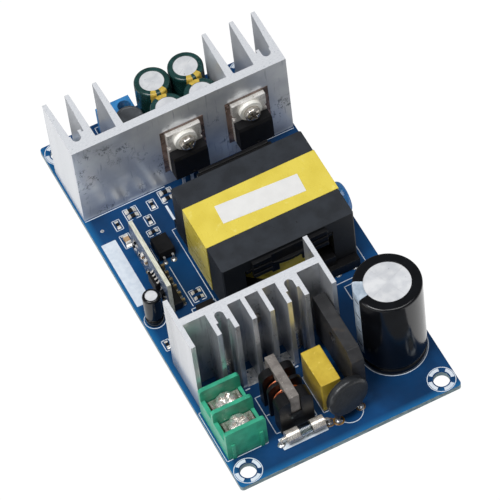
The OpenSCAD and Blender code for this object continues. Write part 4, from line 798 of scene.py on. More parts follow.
class Shape:
    """Faces of one piece, collected in millimetres and turned into one mesh object."""

    def __init__(self) -> None:
        """Starts an empty piece."""
        self.mesh = bmesh.new()

    def loft(self, rings: Sequence[Sequence[Sequence[float]]], place: Matrix = HOME,
             closed: bool = False) -> None:
        """Joins rings of points with faces, and closes the two ends.

        Args:
            rings: Rings with the same number of points each.
            place: Where the piece's own frame lies.
            closed: Whether the last ring joins the first, which leaves no ends.
        """
        rows = [[self.mesh.verts.new(place @ Vector(point)) for point in ring] for ring in rings]
        count = len(rows[0])
        for low, high in list(zip(rows, rows[1:])) + ([(rows[-1], rows[0])] if closed else []):
            for i in range(count):
                j = (i + 1) % count
                self.mesh.faces.new((low[i], low[j], high[j], high[i]))
        if not closed:
            self.mesh.faces.new(list(reversed(rows[0])))
            self.mesh.faces.new(rows[-1])

    def slab(self, outline: Sequence[Point], low: float, high: float, place: Matrix = HOME,
             soften: float = 0.0) -> None:
        """Raises an outline into a slab.

        Args:
            outline: Outline in plan, anticlockwise.
            low: Height of its underside.
            high: Height of its top.
            place: Where the slab's own frame lies.
            soften: Width of the bevel round the top.
        """
        rings = [[(x, y, low) for x, y in outline], [(x, y, high - soften) for x, y in outline]]
        if soften:
            wide = max(abs(x) for x, _ in outline)
            deep = max(abs(y) for _, y in outline)
            rings.append([(x * (1 - soften / wide), y * (1 - soften / deep), high)
                          for x, y in outline])
        self.loft(rings, place)

    def line(self, start: Point, end: Point, width: float, low: float, high: float) -> None:
        """Lays a flat bar between two points of the board.

        Args:
            start: First point.
            end: Last point.
            width: Width of the bar.
            low: Height of its underside.
            high: Height of its top.
        """
        span = Vector(end) - Vector(start)
        middle = (Vector(start) + Vector(end)) / 2
        turn = math.degrees(math.atan2(span.y, span.x))
        self.slab(rounded(span.length + width, width, width * 0.3, 2), low, high,
                  at(middle.x, middle.y, 0, turn))

    def lathe(self, profile: Sequence[Point], place: Matrix, steps: int = 32, closed: bool = False,
              wide: float = 1.0) -> None:
        """Turns a profile of radius and height about Z.

        Args:
            profile: Radius and height of each point.
            place: Where the piece's own frame lies.
            steps: Steps round the axis.
            closed: Whether the profile is a loop.
            wide: Factor on the radius along X.
        """
        turns = [2 * math.pi * i / steps for i in range(steps)]
        self.loft([[(wide * r * math.cos(a), r * math.sin(a), z) for a in turns]
                   for r, z in profile], place, closed)

    def sweep(self, path: Sequence[Vector], radius: float, sides: int = 8) -> None:
        """Runs a round wire along a path.

        Args:
            path: Points of the centre line.
            radius: Radius of the wire.
            sides: Steps round the wire.
        """
        rings = []
        side = (path[1] - path[0]).orthogonal().normalized()
        for i, point in enumerate(path):
            along = (path[min(i + 1, len(path) - 1)] - path[max(i - 1, 0)]).normalized()
            side = (side - along * side.dot(along)).normalized()
            rise = along.cross(side)
            rings.append([point + radius * (math.cos(a) * side + math.sin(a) * rise)
                          for a in (2 * math.pi * k / sides for k in range(sides))])
        self.loft(rings)

    def strip(self, path: Sequence[Point], width: float, thick: float, place: Matrix) -> None:
        """Bends a flat strip along a path of its own X and Z.

        Args:
            path: Points of the strip's middle, in X and Z.
            width: Width along Y.
            thick: Thickness.
            place: Where the strip's own frame lies.
        """
        rings = []
        for i, (x, z) in enumerate(path):
            before, after = path[max(i - 1, 0)], path[min(i + 1, len(path) - 1)]
            along = Vector((after[0] - before[0], after[1] - before[1])).normalized()
            dx, dz = -along.y * thick / 2, along.x * thick / 2
            rings.append([(x - dx, -width / 2, z - dz), (x - dx, width / 2, z - dz),
                          (x + dx, width / 2, z + dz), (x + dx, -width / 2, z + dz)])
        self.loft(rings, place)

    def piece(self, name: str, finish: Finish, slot: str, crease: Crease = Crease.PLAIN,
              stands_for: Sequence[str] = ()) -> Piece:
        """Turns the collected faces into a piece of the object.

        Args:
            name: Name of the piece.
            finish: Its finish.
            slot: Slot of the record that the finish belongs to; not used.
            crease: Which edges stay sharp.
            stands_for: CAD nodes that the piece replaces.

        Returns:
            The piece.
        """
        bmesh.ops.recalc_face_normals(self.mesh, faces=self.mesh.faces)
        bmesh.ops.scale(self.mesh, vec=(MM, MM, MM), verts=self.mesh.verts)
        mesh = bpy.data.meshes.new(name)
        self.mesh.to_mesh(mesh)
        self.mesh.free()
        mesh.shade_smooth()
        mesh.set_sharp_from_angle(angle=math.radians(crease.value))
        mesh.materials.append(finish.material())
        made = bpy.data.objects.new(name, mesh)
        bpy.context.scene.collection.objects.link(made)
        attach(made, "root")
        if stands_for:
            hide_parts(*stands_for)
        return made


# ---------------------------------------------------------------- sub-assemblies


class Assembly:
    """A sub-assembly: nodes to dress and pieces to add."""

    def dress(self) -> None:
        """Gives the nodes their finishes."""
        raise NotImplementedError

    def build(self) -> list[Piece]:
        """Returns the added pieces, none unless a class has some."""
        return []


@dataclass(frozen=True)
class Screw:
    """A pan-head screw with a deep cross recess, which points down from its head.

    Attributes:
        width: Diameter of the head.
        height: Height of the head.
        shank: Diameter of the shank.
        length: Length of the shank.
        arm: Reach of the recess as a share of the head's radius.
        slot: Half the width of the recess as a share of the head's radius.
        floor: Height of the recess's floor as a share of the head's.
        under: Radius of the head's underside as a share of its own.
        brim: Height of the head's straight rim as a share of its own.
        dome: Shares of the head's radius at which the rings of the dome lie.
        rise: Height of the dome's foot and of the dome over it as shares of the head's.
        bulge: Power of the dome's curve.
    """

    width: float
    height: float
    shank: float
    length: float
    arm: float = 0.66
    slot: float = 0.17
    floor: float = 0.3
    under: float = 0.97
    brim: float = 0.12
    dome: tuple[float, ...] = (1.0, 0.97, 0.9, 0.8)
    rise: Point = (0.55, 0.45)
    bulge: float = 2.6

    def add_to(self, metal: Shape, place: Matrix) -> None:
        """Adds the screw's faces to a piece.

        Args:
            metal: Piece that takes the screw.
            place: Where the underside of the head lies, with Z out of the head.
        """
        radius, half = self.width / 2, self.slot * self.width / 2
        foot, brim = self.floor * self.height, self.brim * self.height
        rings = [self.ring(self.shank / 2, -self.length, -self.length),
                 self.ring(self.shank / 2, 0, 0), self.ring(radius * self.under, 0, 0),
                 self.ring(radius, brim, brim)]
        for share in (*self.dome, self.arm):
            rings.append(self.ring(radius * share, self.crown(share), self.crown(share)))
        for share in (self.arm * 0.98, 0.5, 1.45 * self.slot):
            rings.append(self.ring(radius * share, self.crown(share), foot))
        rings += [self.ring(half * 1.3, foot, foot), self.ring(0.1, foot, foot)]
        metal.loft(rings, place)

    def crown(self, share: float) -> float:
        """Returns the height of the dome at a share of the head's radius."""
        foot, over = self.rise
        return self.height * (foot + over * math.sqrt(max(0.0, 1 - share ** self.bulge)))

    def ring(self, radius: float, rise: float, floor: float) -> list[Triple]:
        """Draws one ring of the head, split where the recess cuts it.

        Args:
            radius: Radius of the ring.
            rise: Height between the arms of the recess.
            floor: Height inside the arms.

        Returns:
            The ring's points.
        """
        half = self.slot * self.width / 2
        edge = math.asin(min(0.7, half / radius))
        arm = ((-edge, rise), (-0.9 * edge, floor), (0, floor), (0.9 * edge, floor), (edge, rise),
               (math.pi / 4, rise))
        turns = [(quarter * math.pi / 2 + turn, z) for quarter in range(4) for turn, z in arm]
        return [(radius * math.cos(a), radius * math.sin(a), z) for a, z in turns]


class Form(Enum):
    """How a surface-mounted chip is made."""

    RESISTOR = "thick film on ceramic, wrapped ends"
    CERAMIC = "sintered ceramic, wrapped ends"
    MOULDED = "moulded body, three legs"
    DRIVER = "moulded body, four legs a side"
    DIODE = "moulded body, one leg an end"


@dataclass(frozen=True)
class Chip:
    """A surface-mounted chip.

    Attributes:
        place: Where its foot lies.
        length: Body length along its own X.
        width: Body width along its own Y.
        height: Height over its foot.
        form: How it is made.
        pitch: Distance between the legs of a driver.
        spread: Half the distance between the two legs on a side of a three-leg body.
        cap: Length of a wrapped end as a share of the body's.
        leg: Width of a leg of a three-leg body and of the others.
        sheet: Thickness of a leg.
        knee: Points of a leg's upper part, out from the body and up as a share of its height.
        toe: Points of its lower part, out from the body and up from the board.
    """

    place: Matrix
    length: float
    width: float
    height: float
    form: Form
    pitch: float = 1.27
    spread: float = 0.95
    cap: float = 0.2
    leg: Point = (0.42, 0.45)
    sheet: float = 0.13
    knee: tuple[Point, ...] = ((-0.1, 0.5), (0.2, 0.5), (0.38, 0.3))
    toe: tuple[Point, ...] = ((0.44, 0.14), (0.56, 0.07), (0.95, 0.06))

    def add_to(self, bodies: Shape, ends: Shape) -> None:
        """Adds the chip's faces to two pieces.

        Args:
            bodies: Piece that takes the body.
            ends: Piece that takes the metal.
        """
        if self.form in (Form.RESISTOR, Form.CERAMIC):
            self.wrap(bodies, ends)
        else:
            self.mould(bodies, ends)

    def wrap(self, bodies: Shape, ends: Shape) -> None:
        """Adds a plain body with wrapped ends and their toes of solder.

        Args:
            bodies: Piece that takes the body.
            ends: Piece that takes the metal.
        """
        cap = self.cap * self.length
        bodies.slab(rounded(self.length - cap, self.width * 0.94, 0.05, 2), 0.02,
                    self.height * 0.95, self.place, 0.05)
        for side in (-1, 1):
            end = self.place @ Matrix.Translation((side * (self.length - cap) / 2, 0, 0))
            ends.slab(rounded(cap, self.width, 0.06, 3), 0.0, self.height, end, 0.06)
            toe = [(side * cap * 0.5, 0.7 * self.height), (side * cap * 0.75, 0.3 * self.height),
                   (side * cap * 2.1, 0.06)]
            ends.strip(toe, self.width * 1.2, 0.12, end)

    def mould(self, bodies: Shape, ends: Shape) -> None:
        """Adds a moulded body with its bent legs.

        Args:
            bodies: Piece that takes the body.
            ends: Piece that takes the metal.
        """
        bodies.slab(rounded(self.length * 0.96, self.width * 0.96, 0.12, 3), 0.1,
                    self.height * 0.5, self.place)
        bodies.slab(rounded(self.length, self.width, 0.12, 3), self.height * 0.45, self.height,
                    self.place, 0.14)
        bend = [(out, self.height * up) for out, up in self.knee] + list(self.toe)
        width = self.leg[0] if self.form is Form.MOULDED else self.leg[1]
        for along, aside, turn in self.legs():
            ends.strip(bend, width, self.sheet, self.place @ at(along, aside, 0, turn))

    def legs(self) -> list[Triple]:
        """Places the legs.

        Returns:
            For each leg its root along and across the body, and its direction in degrees.
        """
        if self.form is Form.DIODE:
            return [(self.length / 2, 0, 0), (-self.length / 2, 0, 180)]
        if self.form is Form.DRIVER:
            return [(self.pitch * (i - 1.5), side * self.width / 2, side * 90)
                    for i in range(4) for side in (-1, 1)]
        return [(-self.spread, -self.width / 2, -90), (self.spread, -self.width / 2, -90),
                (0, self.width / 2, 90)]


@dataclass
class Board(Assembly):
    """The main board: mask, white print, solder joints, via and tinned panel.

    Attributes:
        ink: Thickness of the print.
        sink: How far the print reaches into the mask.
        rule: Width of a printed line.
        corner: Corner radius of a printed block.
        hole_inset: Distance of the mounting holes from the edges.
        hole_ring: Inner and outer radius of the printed rings round the mounting holes.
        arcs: First angles of a ring's four arcs, in degrees.
        arc: Angle that an arc spans.
        outlines: Lowest and highest corner of each printed outline.
        lines: Ends of each printed line.
        blocks: Lowest and highest corner of each printed block.
        can_rings: Sleeves with a printed ring, and how far it stands out from them.
        disc_ring: Middle and radius of the ring under the inrush limiter.
        pad: Radius of a solder joint.
        pad_reach: Largest joint as a share of the distance to the next lead.
        pad_tight: Size of a joint on the header's close pins as a share of the others.
        stub: Height of a joint below the board.
        swell: Points of a joint's lower edge, as radius in pads and height.
        fillet: Points of a joint on top, as radius in pads and height over the board.
        flux: Inner and mean outer radius of a rim of flux.
        via: Place of the via beside the rear heatsink.
        pour: Lowest and highest corner of the bare copper under the front fins.
        vias: Places of the plugged vias in that copper.
    """

    ink: float = 0.03
    sink: float = 0.005
    rule: float = 0.21
    corner: float = 0.15
    hole_inset: float = 4.0
    hole_ring: Point = (2.6, 3.9)
    arcs: tuple[float, ...] = (-13, 77, 167, 257)
    arc: float = 56.0
    outlines: tuple[tuple[Point, Point], ...] = (
        ((-32.1, -53.5), (-20.0, -36.5)), ((-17.0, -52.2), (-5.1, -39.5)),
        ((-3.2, -52.5), (2.8, -39.9)), ((-12.4, -18.3), (28.6, 19.8)),
        ((19.7, -24.4), (27.0, -19.9)), ((-16.1, 52.6), (-4.7, 61.2)))
    lines: tuple[tuple[Point, Point], ...] = (
        ((-18.3, -5.2), (-18.3, 9.2)), ((-20.2, 12.4), (-20.2, 17.2)),
        ((-31.8, 33.85), (-8.0, 33.85)), ((23.0, 33.85), (31.8, 33.85)),
        ((-16.7, -45.9), (-15.4, -45.9)))
    blocks: tuple[tuple[Point, Point], ...] = (
        ((-17.5, -57.7), (-4.4, -53.9)), ((-31.55, 1.85), (-27.25, 24.6)),
        ((-18.1, -36.3), (-16.7, -35.95)), ((-3.35, -36.3), (-2.4, -35.95)),
        ((-10.65, 22.6), (-9.95, 27.9)))
    can_rings: tuple[tuple[str, float], ...] = (
        ("bulk_sleeve", 0.3), ("supply_sleeve", 0.55), ("output_sleeve_3", 0.2))
    disc_ring: Triple = (2.95, -55.4, 3.65)
    pad: float = 1.35
    pad_reach: float = 0.44
    pad_tight: float = 0.7
    stub: float = 1.15
    swell: tuple[Point, ...] = ((0.78, -0.22), (0.96, -0.06), (1.0, 0.0))
    fillet: tuple[Point, ...] = ((0.8, 0.0), (0.78, 0.05), (0.55, 0.16), (0.36, 0.36))
    flux: Point = (1.0, 1.45)
    via: Point = (-29.15, 28.9)
    pour: tuple[Point, Point] = ((-17.0, -35.5), (-2.7, -30.5))
    vias: tuple[Point, ...] = (
        (-15.0, -31.3), (-15.0, -33.2), (-5.1, -31.2), (-3.2, -32.8), (-3.1, -34.7))

    def __post_init__(self) -> None:
        """Measures the board and the heights of its print."""
        self.extent = Extent.of("circuit_board")
        self.top = self.extent.hi.z
        self.layer = (self.top - self.sink, self.top + self.ink)

    def dress(self) -> None:
        """Gives the board, its screws and its leads their finishes."""
        dress(BLUE_MASK, "circuit_board")
        dress(TINNED, "lead_wires")
        dress(ZINC_STEEL, "heatsink_screws")

    def build(self) -> list[Piece]:
        """Returns the print, the solder joints, the flux, the via and the tinned panel."""
        return [self.print_white(), self.join_leads(), self.leave_flux(), self.plate_via(),
                *self.coat_pour()]

    def print_frame(self, ink: Shape, lo: Point, hi: Point, gap: float = 0.0) -> None:
        """Prints a rectangle, or two brackets where there is a gap.

        Args:
            ink: Piece that takes the lines.
            lo: Lowest corner.
            hi: Highest corner.
            gap: Share of the two sides along X that is left open in the middle.
        """
        for x in (lo[0], hi[0]):
            ink.line((x, lo[1]), (x, hi[1]), self.rule, *self.layer)
        open_half = gap * (hi[0] - lo[0]) / 2
        middle = (lo[0] + hi[0]) / 2
        for y in (lo[1], hi[1]):
            ink.line((lo[0], y), (middle - open_half, y), self.rule, *self.layer)
            ink.line((middle + open_half, y), (hi[0], y), self.rule, *self.layer)

    def print_ring(self, ink: Shape, x: float, y: float, radius: float, steps: int) -> None:
        """Prints a circle.

        Args:
            ink: Piece that takes the circle.
            x: Middle along X.
            y: Middle along Y.
            radius: Outer radius.
            steps: Steps round the circle.
        """
        low, high = self.layer
        inner = radius - self.rule
        ink.lathe([(inner, low), (radius, low), (radius, high), (inner, high)], at(x, y), steps,
                  closed=True)

    def print_holes(self, ink: Shape) -> None:
        """Prints a circle and four arcs round each mounting hole.

        Args:
            ink: Piece that takes the print.
        """
        hole_x, hole_y = self.extent.hi.x - self.hole_inset, self.extent.hi.y - self.hole_inset
        inner, outer = self.hole_ring
        for x in (-hole_x, hole_x):
            for y in (-hole_y, hole_y):
                self.print_ring(ink, x, y, outer, 64)
                for start in self.arcs:
                    ink.slab(sector(inner, outer - self.rule * 1.6, start, start + self.arc),
                             *self.layer, at(x, y))

    def print_white(self) -> Piece:
        """Prints the rings, outlines, lines and blocks of the top side.

        Returns:
            The print.
        """
        ink = Shape()
        self.print_holes(ink)
        for lo, hi in self.outlines:
            self.print_frame(ink, lo, hi)
        for start, end in self.lines:
            ink.line(start, end, self.rule, *self.layer)
        for lo, hi in self.blocks:
            ink.slab(rounded(hi[0] - lo[0], hi[1] - lo[1], self.corner, 2), *self.layer,
                     at((lo[0] + hi[0]) / 2, (lo[1] + hi[1]) / 2))
        for node, grow in self.can_rings:
            can = Extent.of(node)
            self.print_ring(ink, can.mid.x, can.mid.y, can.size.x / 2 + grow, 72)
        self.print_ring(ink, *self.disc_ring, 72)
        for x, y, wide, deep, gap in ChipParts().frames:
            self.print_frame(ink, (x - wide, y - deep), (x + wide, y + deep), gap)
        return ink.piece("board_print", INK, "white_label")

    def join_leads(self) -> Piece:
        """Solders every lead on both sides of the board.

        Returns:
            The joints.
        """
        joints = Shape()
        nodes = ("lead_wires", "bobbin_pins", "bridge_leads", "coupler_legs", "header_pins",
                 "fuse_caps", "left_rectifier_frame", "right_rectifier_frame", "transistor_frame",
                 "input_contacts", "output_cages")
        places = [(Vector(p), self.pad_tight if node == "header_pins" else 1.0)
                  for node in nodes for p in tips(node)]
        for i, (spot, share) in enumerate(places):
            near = min((spot - other).length for j, (other, _) in enumerate(places) if j != i)
            pad = min(self.pad, self.pad_reach * near) * share
            pit = 0.86 + 0.1 * math.sin(5.1 * i)
            below = [(0.3, -self.stub), (0.42, -self.stub * pit), (0.5 * pad, -0.55 * pit)]
            below += [(r * pad, z) for r, z in self.swell]
            above = [(r * pad, self.top + z) for r, z in self.fillet]
            for profile in (below, above):
                joints.lathe(profile, at(spot.x, spot.y), 20)
        return joints.piece("solder_joints", SOLDER, "tinned_copper", Crease.ROUND)

    def leave_flux(self) -> Piece:
        """Leaves rims of flux round the joints of the fuse's right end and the inrush limiter.

        Returns:
            The rims.
        """
        rims = Shape()
        disc = Extent.of("inrush_disc")
        spots = tips("fuse_caps")[1:] + [
            p for p in tips("lead_wires")
            if disc.lo.x - 1 < p[0] < disc.hi.x + 1 and p[1] < disc.hi.y]
        inner, outer = self.flux
        low = self.top - KEY
        for i, (x, y) in enumerate(spots):
            wide = outer + 0.12 * math.sin(2.3 * i)
            rims.lathe([(inner, low), (wide, low), (wide - 0.12, self.top + 0.04),
                        (inner, self.top + 0.1)], at(x + 0.1, y - 0.08), 28, True, 1.06)
        return rims.piece("flux_rims", FLUX, "bare_brass", Crease.ROUND)

    def plate_via(self) -> Piece:
        """Plates the via beside the rear heatsink.

        Returns:
            The via's rim.
        """
        rim = Shape()
        low, high = self.top - KEY, self.top + 0.05
        rim.lathe([(0.55, low), (0.5, high), (0.3, high + 0.02), (0.1, high - 0.02)], at(*self.via))
        return rim.piece("board_via", SOLDER, "tinned_copper")

    def coat_pour(self) -> list[Piece]:
        """Coats the bare copper under the front fins with solder and plugs its vias.

        Returns:
            The coat and the plugs.
        """
        coat, plugs = Shape(), Shape()
        lo, hi = Vector(self.pour[0]), Vector(self.pour[1])
        middle, size = (lo + hi) / 2, hi - lo
        coat.slab(rounded(size.x, size.y, 0.3, 3), self.top - KEY, self.top + 0.03,
                  at(middle.x, middle.y), 0.02)
        for x, y in self.vias:
            plugs.lathe([(0.24, self.top), (0.22, self.top + 0.05), (0.05, self.top + 0.06)],
                        at(x, y), 16)
        return [coat.piece("board_pour", TINNED, "tinned_copper"),
                plugs.piece("pour_vias", BLUE_MASK, "blue_solder_mask")]


@dataclass
class Heatsinks(Assembly):
    """The two aluminium extrusions."""

    def dress(self) -> None:
        """Gives each extrusion its finish; the front one's colours are painted darker as painted
        shade.
        """
        dress(MILL_ALUMINIUM, "rear_heatsink")
        dress(SHADED_ALUMINIUM, "front_heatsink")


@dataclass
class PowerDevices(Assembly):
    """The rectifiers and the transistor with what holds them to the plates.

    Attributes:
        head: Diameter and height of a screw's head.
        shank: Diameter of its shank.
        turn: How far its recess is turned, in radians.
    """

    head: Point = (4.7, 2.1)
    shank: float = 3.0
    turn: float = 0.5

    def dress(self) -> None:
        """Gives bodies, frames, sheets, bushes and screws their finishes."""
        dress(EPOXY, "left_rectifier_body", "right_rectifier_body", "transistor_body")
        dress(TIN_PLATE, "left_rectifier_frame", "right_rectifier_frame", "transistor_frame")
        dress(MICA, "mica_sheets")
        dress(SILICONE, "transistor_pad")
        dress(WHITE_NYLON, "shoulder_bushes")
        dress(BRIGHT_ZINC, "device_screws")

    def build(self) -> list[Piece]:
        """Cuts the recesses of the three screws, each under the middle of the CAD's head.

        Returns:
            The screws.
        """
        metal = Shape()
        height = self.head[1]
        for box in islands("device_screws"):
            out = -1 if box.mid.y > 0 else 1
            end = box.lo.y if out < 0 else box.hi.y
            facing = Matrix.Rotation(math.radians(-90 * out), 4, "X")
            place = (Matrix.Translation((box.mid.x, end - out * height, box.mid.z))
                     @ (facing @ Matrix.Rotation(self.turn, 4, "Z")))
            Screw(*self.head, self.shank, box.size.y - height).add_to(metal, place)
        return [metal.piece("device_screw_set", BRIGHT_ZINC, "zinc_plated_steel", Crease.CRISP,
                            ("device_screws",))]


@dataclass
class Transformer(Assembly):
    """The transformer: ferrite halves, former, tape band and bare label.

    Attributes:
        length: Length of the former's rim behind the core.
        ledge: Where the rim's ledge starts and ends behind the core.
        rib: Where the rib on the ledge starts behind the core.
        drop: How far the ledge's underside and its top lie below the core's top.
        bevel: Width of the bevels along the rib's two upper edges.
    """

    length: float = 20.6
    ledge: Point = (0.2, 2.0)
    rib: float = 0.9
    drop: Point = (0.62, 0.5)
    bevel: Point = (0.1, 0.15)

    def dress(self) -> None:
        """Gives core, former, winding, band and label their finishes."""
        dress(FERRITE, "core_upper", "core_lower")
        dress(PHENOLIC, "bobbin")
        dress(FILM_TAPE, "winding", "core_tape")
        dress(LABEL, "core_label")
        dress(TINNED, "bobbin_pins")

    def build(self) -> list[Piece]:
        """Raises the rim of the former behind the core.

        Returns:
            The rim.
        """
        core = Extent.of("core_upper")
        (start, end), (under, over), (near, far) = self.ledge, self.drop, self.bevel
        section = [(start, -under), (end, -under), (end, -far), (end - far, 0),
                   (self.rib + near, 0), (self.rib, -near), (self.rib, -over), (start, -over)]
        rim = Shape()
        rim.loft([[(side * self.length / 2, y, z) for y, z in section] for side in (-1, 1)],
                 at(core.mid.x, core.hi.y, core.hi.z))
        return [rim.piece("former_rim", PHENOLIC, "black_phenolic")]


# Numbers of the output capacitors.
OUTPUTS = range(1, 5)


@dataclass
class Capacitors(Assembly):
    """The electrolytic capacitors: cans, sleeves, scored vents and printed blocks.

    Attributes:
        score: Width of a vent's furrow.
        bulk_vent: Inner and outer reach of the bulk can's furrows.
        bulk_turns: Their directions in degrees.
        output_vent: Inner and outer reach of an output can's furrows.
        output_turns: Their directions in degrees.
        film: Thickness of a print.
        shoulder: Rounding of a sleeve's shoulder.
        opening: Radius of a sleeve's opening as a share of its own.
        gold: For each gold block the number of its sleeve and its first and last angle in degrees.
        gold_drop: How far the gold blocks reach down the side.
        stripe: First and last angle of the bulk sleeve's stripe, and how far it reaches down.
        dash: Direction in degrees, width and height of a dash on that stripe.
        dash_drops: How far below the sleeve's top the dashes start.
    """

    score: float = 0.13
    bulk_vent: Point = (0.8, 6.2)
    bulk_turns: tuple[float, ...] = (22.5, 112.5, 202.5, 292.5)
    output_vent: Point = (1.2, 2.9)
    output_turns: tuple[float, ...] = (32, 212)
    film: float = 0.03
    shoulder: float = 0.7
    opening: float = 0.69
    gold: tuple[tuple[int, float, float], ...] = (
        (1, 70, 112), (2, 73, 113), (3, 240, 261), (3, 276, 299), (4, 248, 269), (4, 282, 304))
    gold_drop: float = 5.5
    stripe: Triple = (150, 190, 25.0)
    dash: Triple = (181, 2.2, 0.35)
    dash_drops: tuple[float, ...] = (2.0, 8.6, 15.2, 21.8)

    def dress(self) -> None:
        """Gives cans and sleeves their finishes."""
        dress(CAN, "bulk_can", "supply_can", *[f"output_can_{i}" for i in OUTPUTS])
        dress(BLACK_SLEEVE, "bulk_sleeve", "supply_sleeve")
        dress(GREEN_SLEEVE, *[f"output_sleeve_{i}" for i in OUTPUTS])

    def build(self) -> list[Piece]:
        """Returns the vents and the prints."""
        return [self.score_vents(), self.print_gold(), *self.print_pale()]

    def score_vents(self) -> Piece:
        """Lays flat darker strips on the tops of the cans, painted shade where the vents are
        scored.

        Returns:
            The furrows.
        """
        furrows = Shape()
        vents = [("bulk_can", self.bulk_vent, self.bulk_turns)]
        vents += [(f"output_can_{i}", self.output_vent, self.output_turns) for i in OUTPUTS]
        for node, (inner, outer), turns in vents:
            can = Extent.of(node)
            for turn in turns:
                way = Vector((math.cos(math.radians(turn)), math.sin(math.radians(turn))))
                furrows.line(can.mid.xy + way * inner, can.mid.xy + way * outer, self.score,
                             can.hi.z - 2 * KEY, can.hi.z + KEY)
        return furrows.piece("can_vents", VENT_SHADE, "can_aluminium")

    def wrap(self, ink: Shape, node: str, start: float, end: float, drop: float) -> None:
        """Prints a block that runs from a sleeve's opening over its shoulder and down its side.

        Args:
            ink: Piece that takes the block.
            node: The sleeve.
            start: First angle in degrees.
            end: Last angle in degrees.
            drop: How far the block reaches down the side.
        """
        sleeve = Extent.of(node)
        radius, crown, bend = sleeve.size.x / 2, sleeve.hi.z, self.shoulder
        turns = [math.radians(15 * i) for i in range(7)]
        line = ([(self.opening * radius, crown, 0.0)]
                + [(radius - bend * (1 - math.sin(a)), crown - bend * (1 - math.cos(a)), a)
                   for a in turns]
                + [(radius, crown - drop, math.pi / 2)])
        section = ([(r + self.film * math.sin(a), z + self.film * math.cos(a)) for r, z, a in line]
                   + [(r - KEY * math.sin(a), z - KEY * math.cos(a)) for r, z, a in reversed(line)])
        steps = max(4, int((end - start) / 4))
        ways = [math.radians(start + (end - start) * i / steps) for i in range(steps + 1)]
        ink.loft([[(r * math.cos(way), r * math.sin(way), z) for r, z in section] for way in ways],
                 at(sleeve.mid.x, sleeve.mid.y))

    def print_gold(self) -> Piece:
        """Prints the gold blocks over the shoulders of the output capacitors.

        Returns:
            The blocks.
        """
        ink = Shape()
        for number, start, end in self.gold:
            self.wrap(ink, f"output_sleeve_{number}", start, end, self.gold_drop)
        return ink.piece("sleeve_gold", GOLD_INK, "bare_brass")

    def print_pale(self) -> list[Piece]:
        """Prints the stripe of the bulk capacitor with its dashes.

        Returns:
            The stripe and the dashes.
        """
        stripe, dashes = Shape(), Shape()
        self.wrap(stripe, "bulk_sleeve", *self.stripe)
        bulk = Extent.of("bulk_sleeve")
        radius = bulk.size.x / 2 + self.film
        angle, width, height = self.dash
        half = math.degrees(width / 2 / radius)
        outline = sector(radius - KEY, radius + self.film, angle - half, angle + half, 10)
        for drop in self.dash_drops:
            dashes.slab(outline, bulk.hi.z - drop - height, bulk.hi.z - drop,
                        at(bulk.mid.x, bulk.mid.y))
        return [stripe.piece("sleeve_stripe", PALE_INK, "white_label"),
                dashes.piece("sleeve_dashes", BLACK_SLEEVE, "black_sleeve")]


@dataclass
class Terminals(Assembly):
    """The input barrier block and the output block.

    Attributes:
        head: Diameter and height of an input screw's head.
        shank: Diameter of its shank.
        recess: Reach and half width of its recess as shares of the head's radius.
        turns: How far the two recesses are turned, in radians.
        washer: Inner and outer radius of its washer.
        rim: Points of the washer's rim, out from its radius and up from its top.
        small: Diameter and height of an output screw's head.
        small_shank: Diameter of its shank as a share of its head's.
        small_recess: Reach and half width of its recess as shares of the head's radius.
        small_turn: How far its recess is turned, in radians.
    """

    head: Point = (5.8, 2.0)
    shank: float = 3.0
    recess: Point = (0.72, 0.2)
    turns: Point = (0.35, 0.95)
    washer: Point = (1.6, 3.0)
    rim: tuple[Point, ...] = ((-0.05, -0.5), (0.0, -0.2), (-0.07, 0.0))
    small: Point = (3.0, 1.2)
    small_shank: float = 0.8
    small_recess: Point = (0.75, 0.2)
    small_turn: float = 0.6

    def dress(self) -> None:
        """Gives housings and metal parts their finishes."""
        dress(GREEN_NYLON, "input_housing")
        dress(BLUE_NYLON, "output_housing")
        dress(NICKEL, "input_clamps")
        dress(ZINC_STEEL, "input_screws")
        dress(BRASS, "input_contacts", "output_screws")
        dress(TINNED, "output_cages")

    def build(self) -> list[Piece]:
        """Cuts the recesses of the terminals' screws and lays the washers of the input.

        Returns:
            The screws and the washers.
        """
        big, washers, small = Shape(), Shape(), Shape()
        bore, wide = self.washer
        for turn, box in zip(self.turns, islands("input_screws")):
            under = box.hi.z - self.head[1]
            seat = at(box.mid.x, box.mid.y, under) @ Matrix.Rotation(turn, 4, "Z")
            Screw(*self.head, self.shank, under - box.lo.z, *self.recess).add_to(big, seat)
            edge = [(wide + out, under + up) for out, up in self.rim]
            washers.lathe([(bore, edge[0][1]), *edge, (bore, under)],
                          seat @ Matrix.Translation((0, 0, -under)), 48, True)
        width, height = self.small
        for box in islands("output_screws"):
            seat = (at(box.mid.x, box.mid.y, box.hi.z - height)
                    @ Matrix.Rotation(self.small_turn, 4, "Z"))
            Screw(width, height, width * self.small_shank, box.size.z - height,
                  *self.small_recess).add_to(small, seat)
        return [big.piece("input_screw_set", ZINC_STEEL, "nickel_plate", Crease.CRISP,
                          ("input_screws",)),
                washers.piece("input_washers", ZINC_STEEL, "nickel_plate", Crease.CRISP),
                small.piece("output_screw_set", BRASS, "bare_brass", Crease.CRISP,
                            ("output_screws",))]


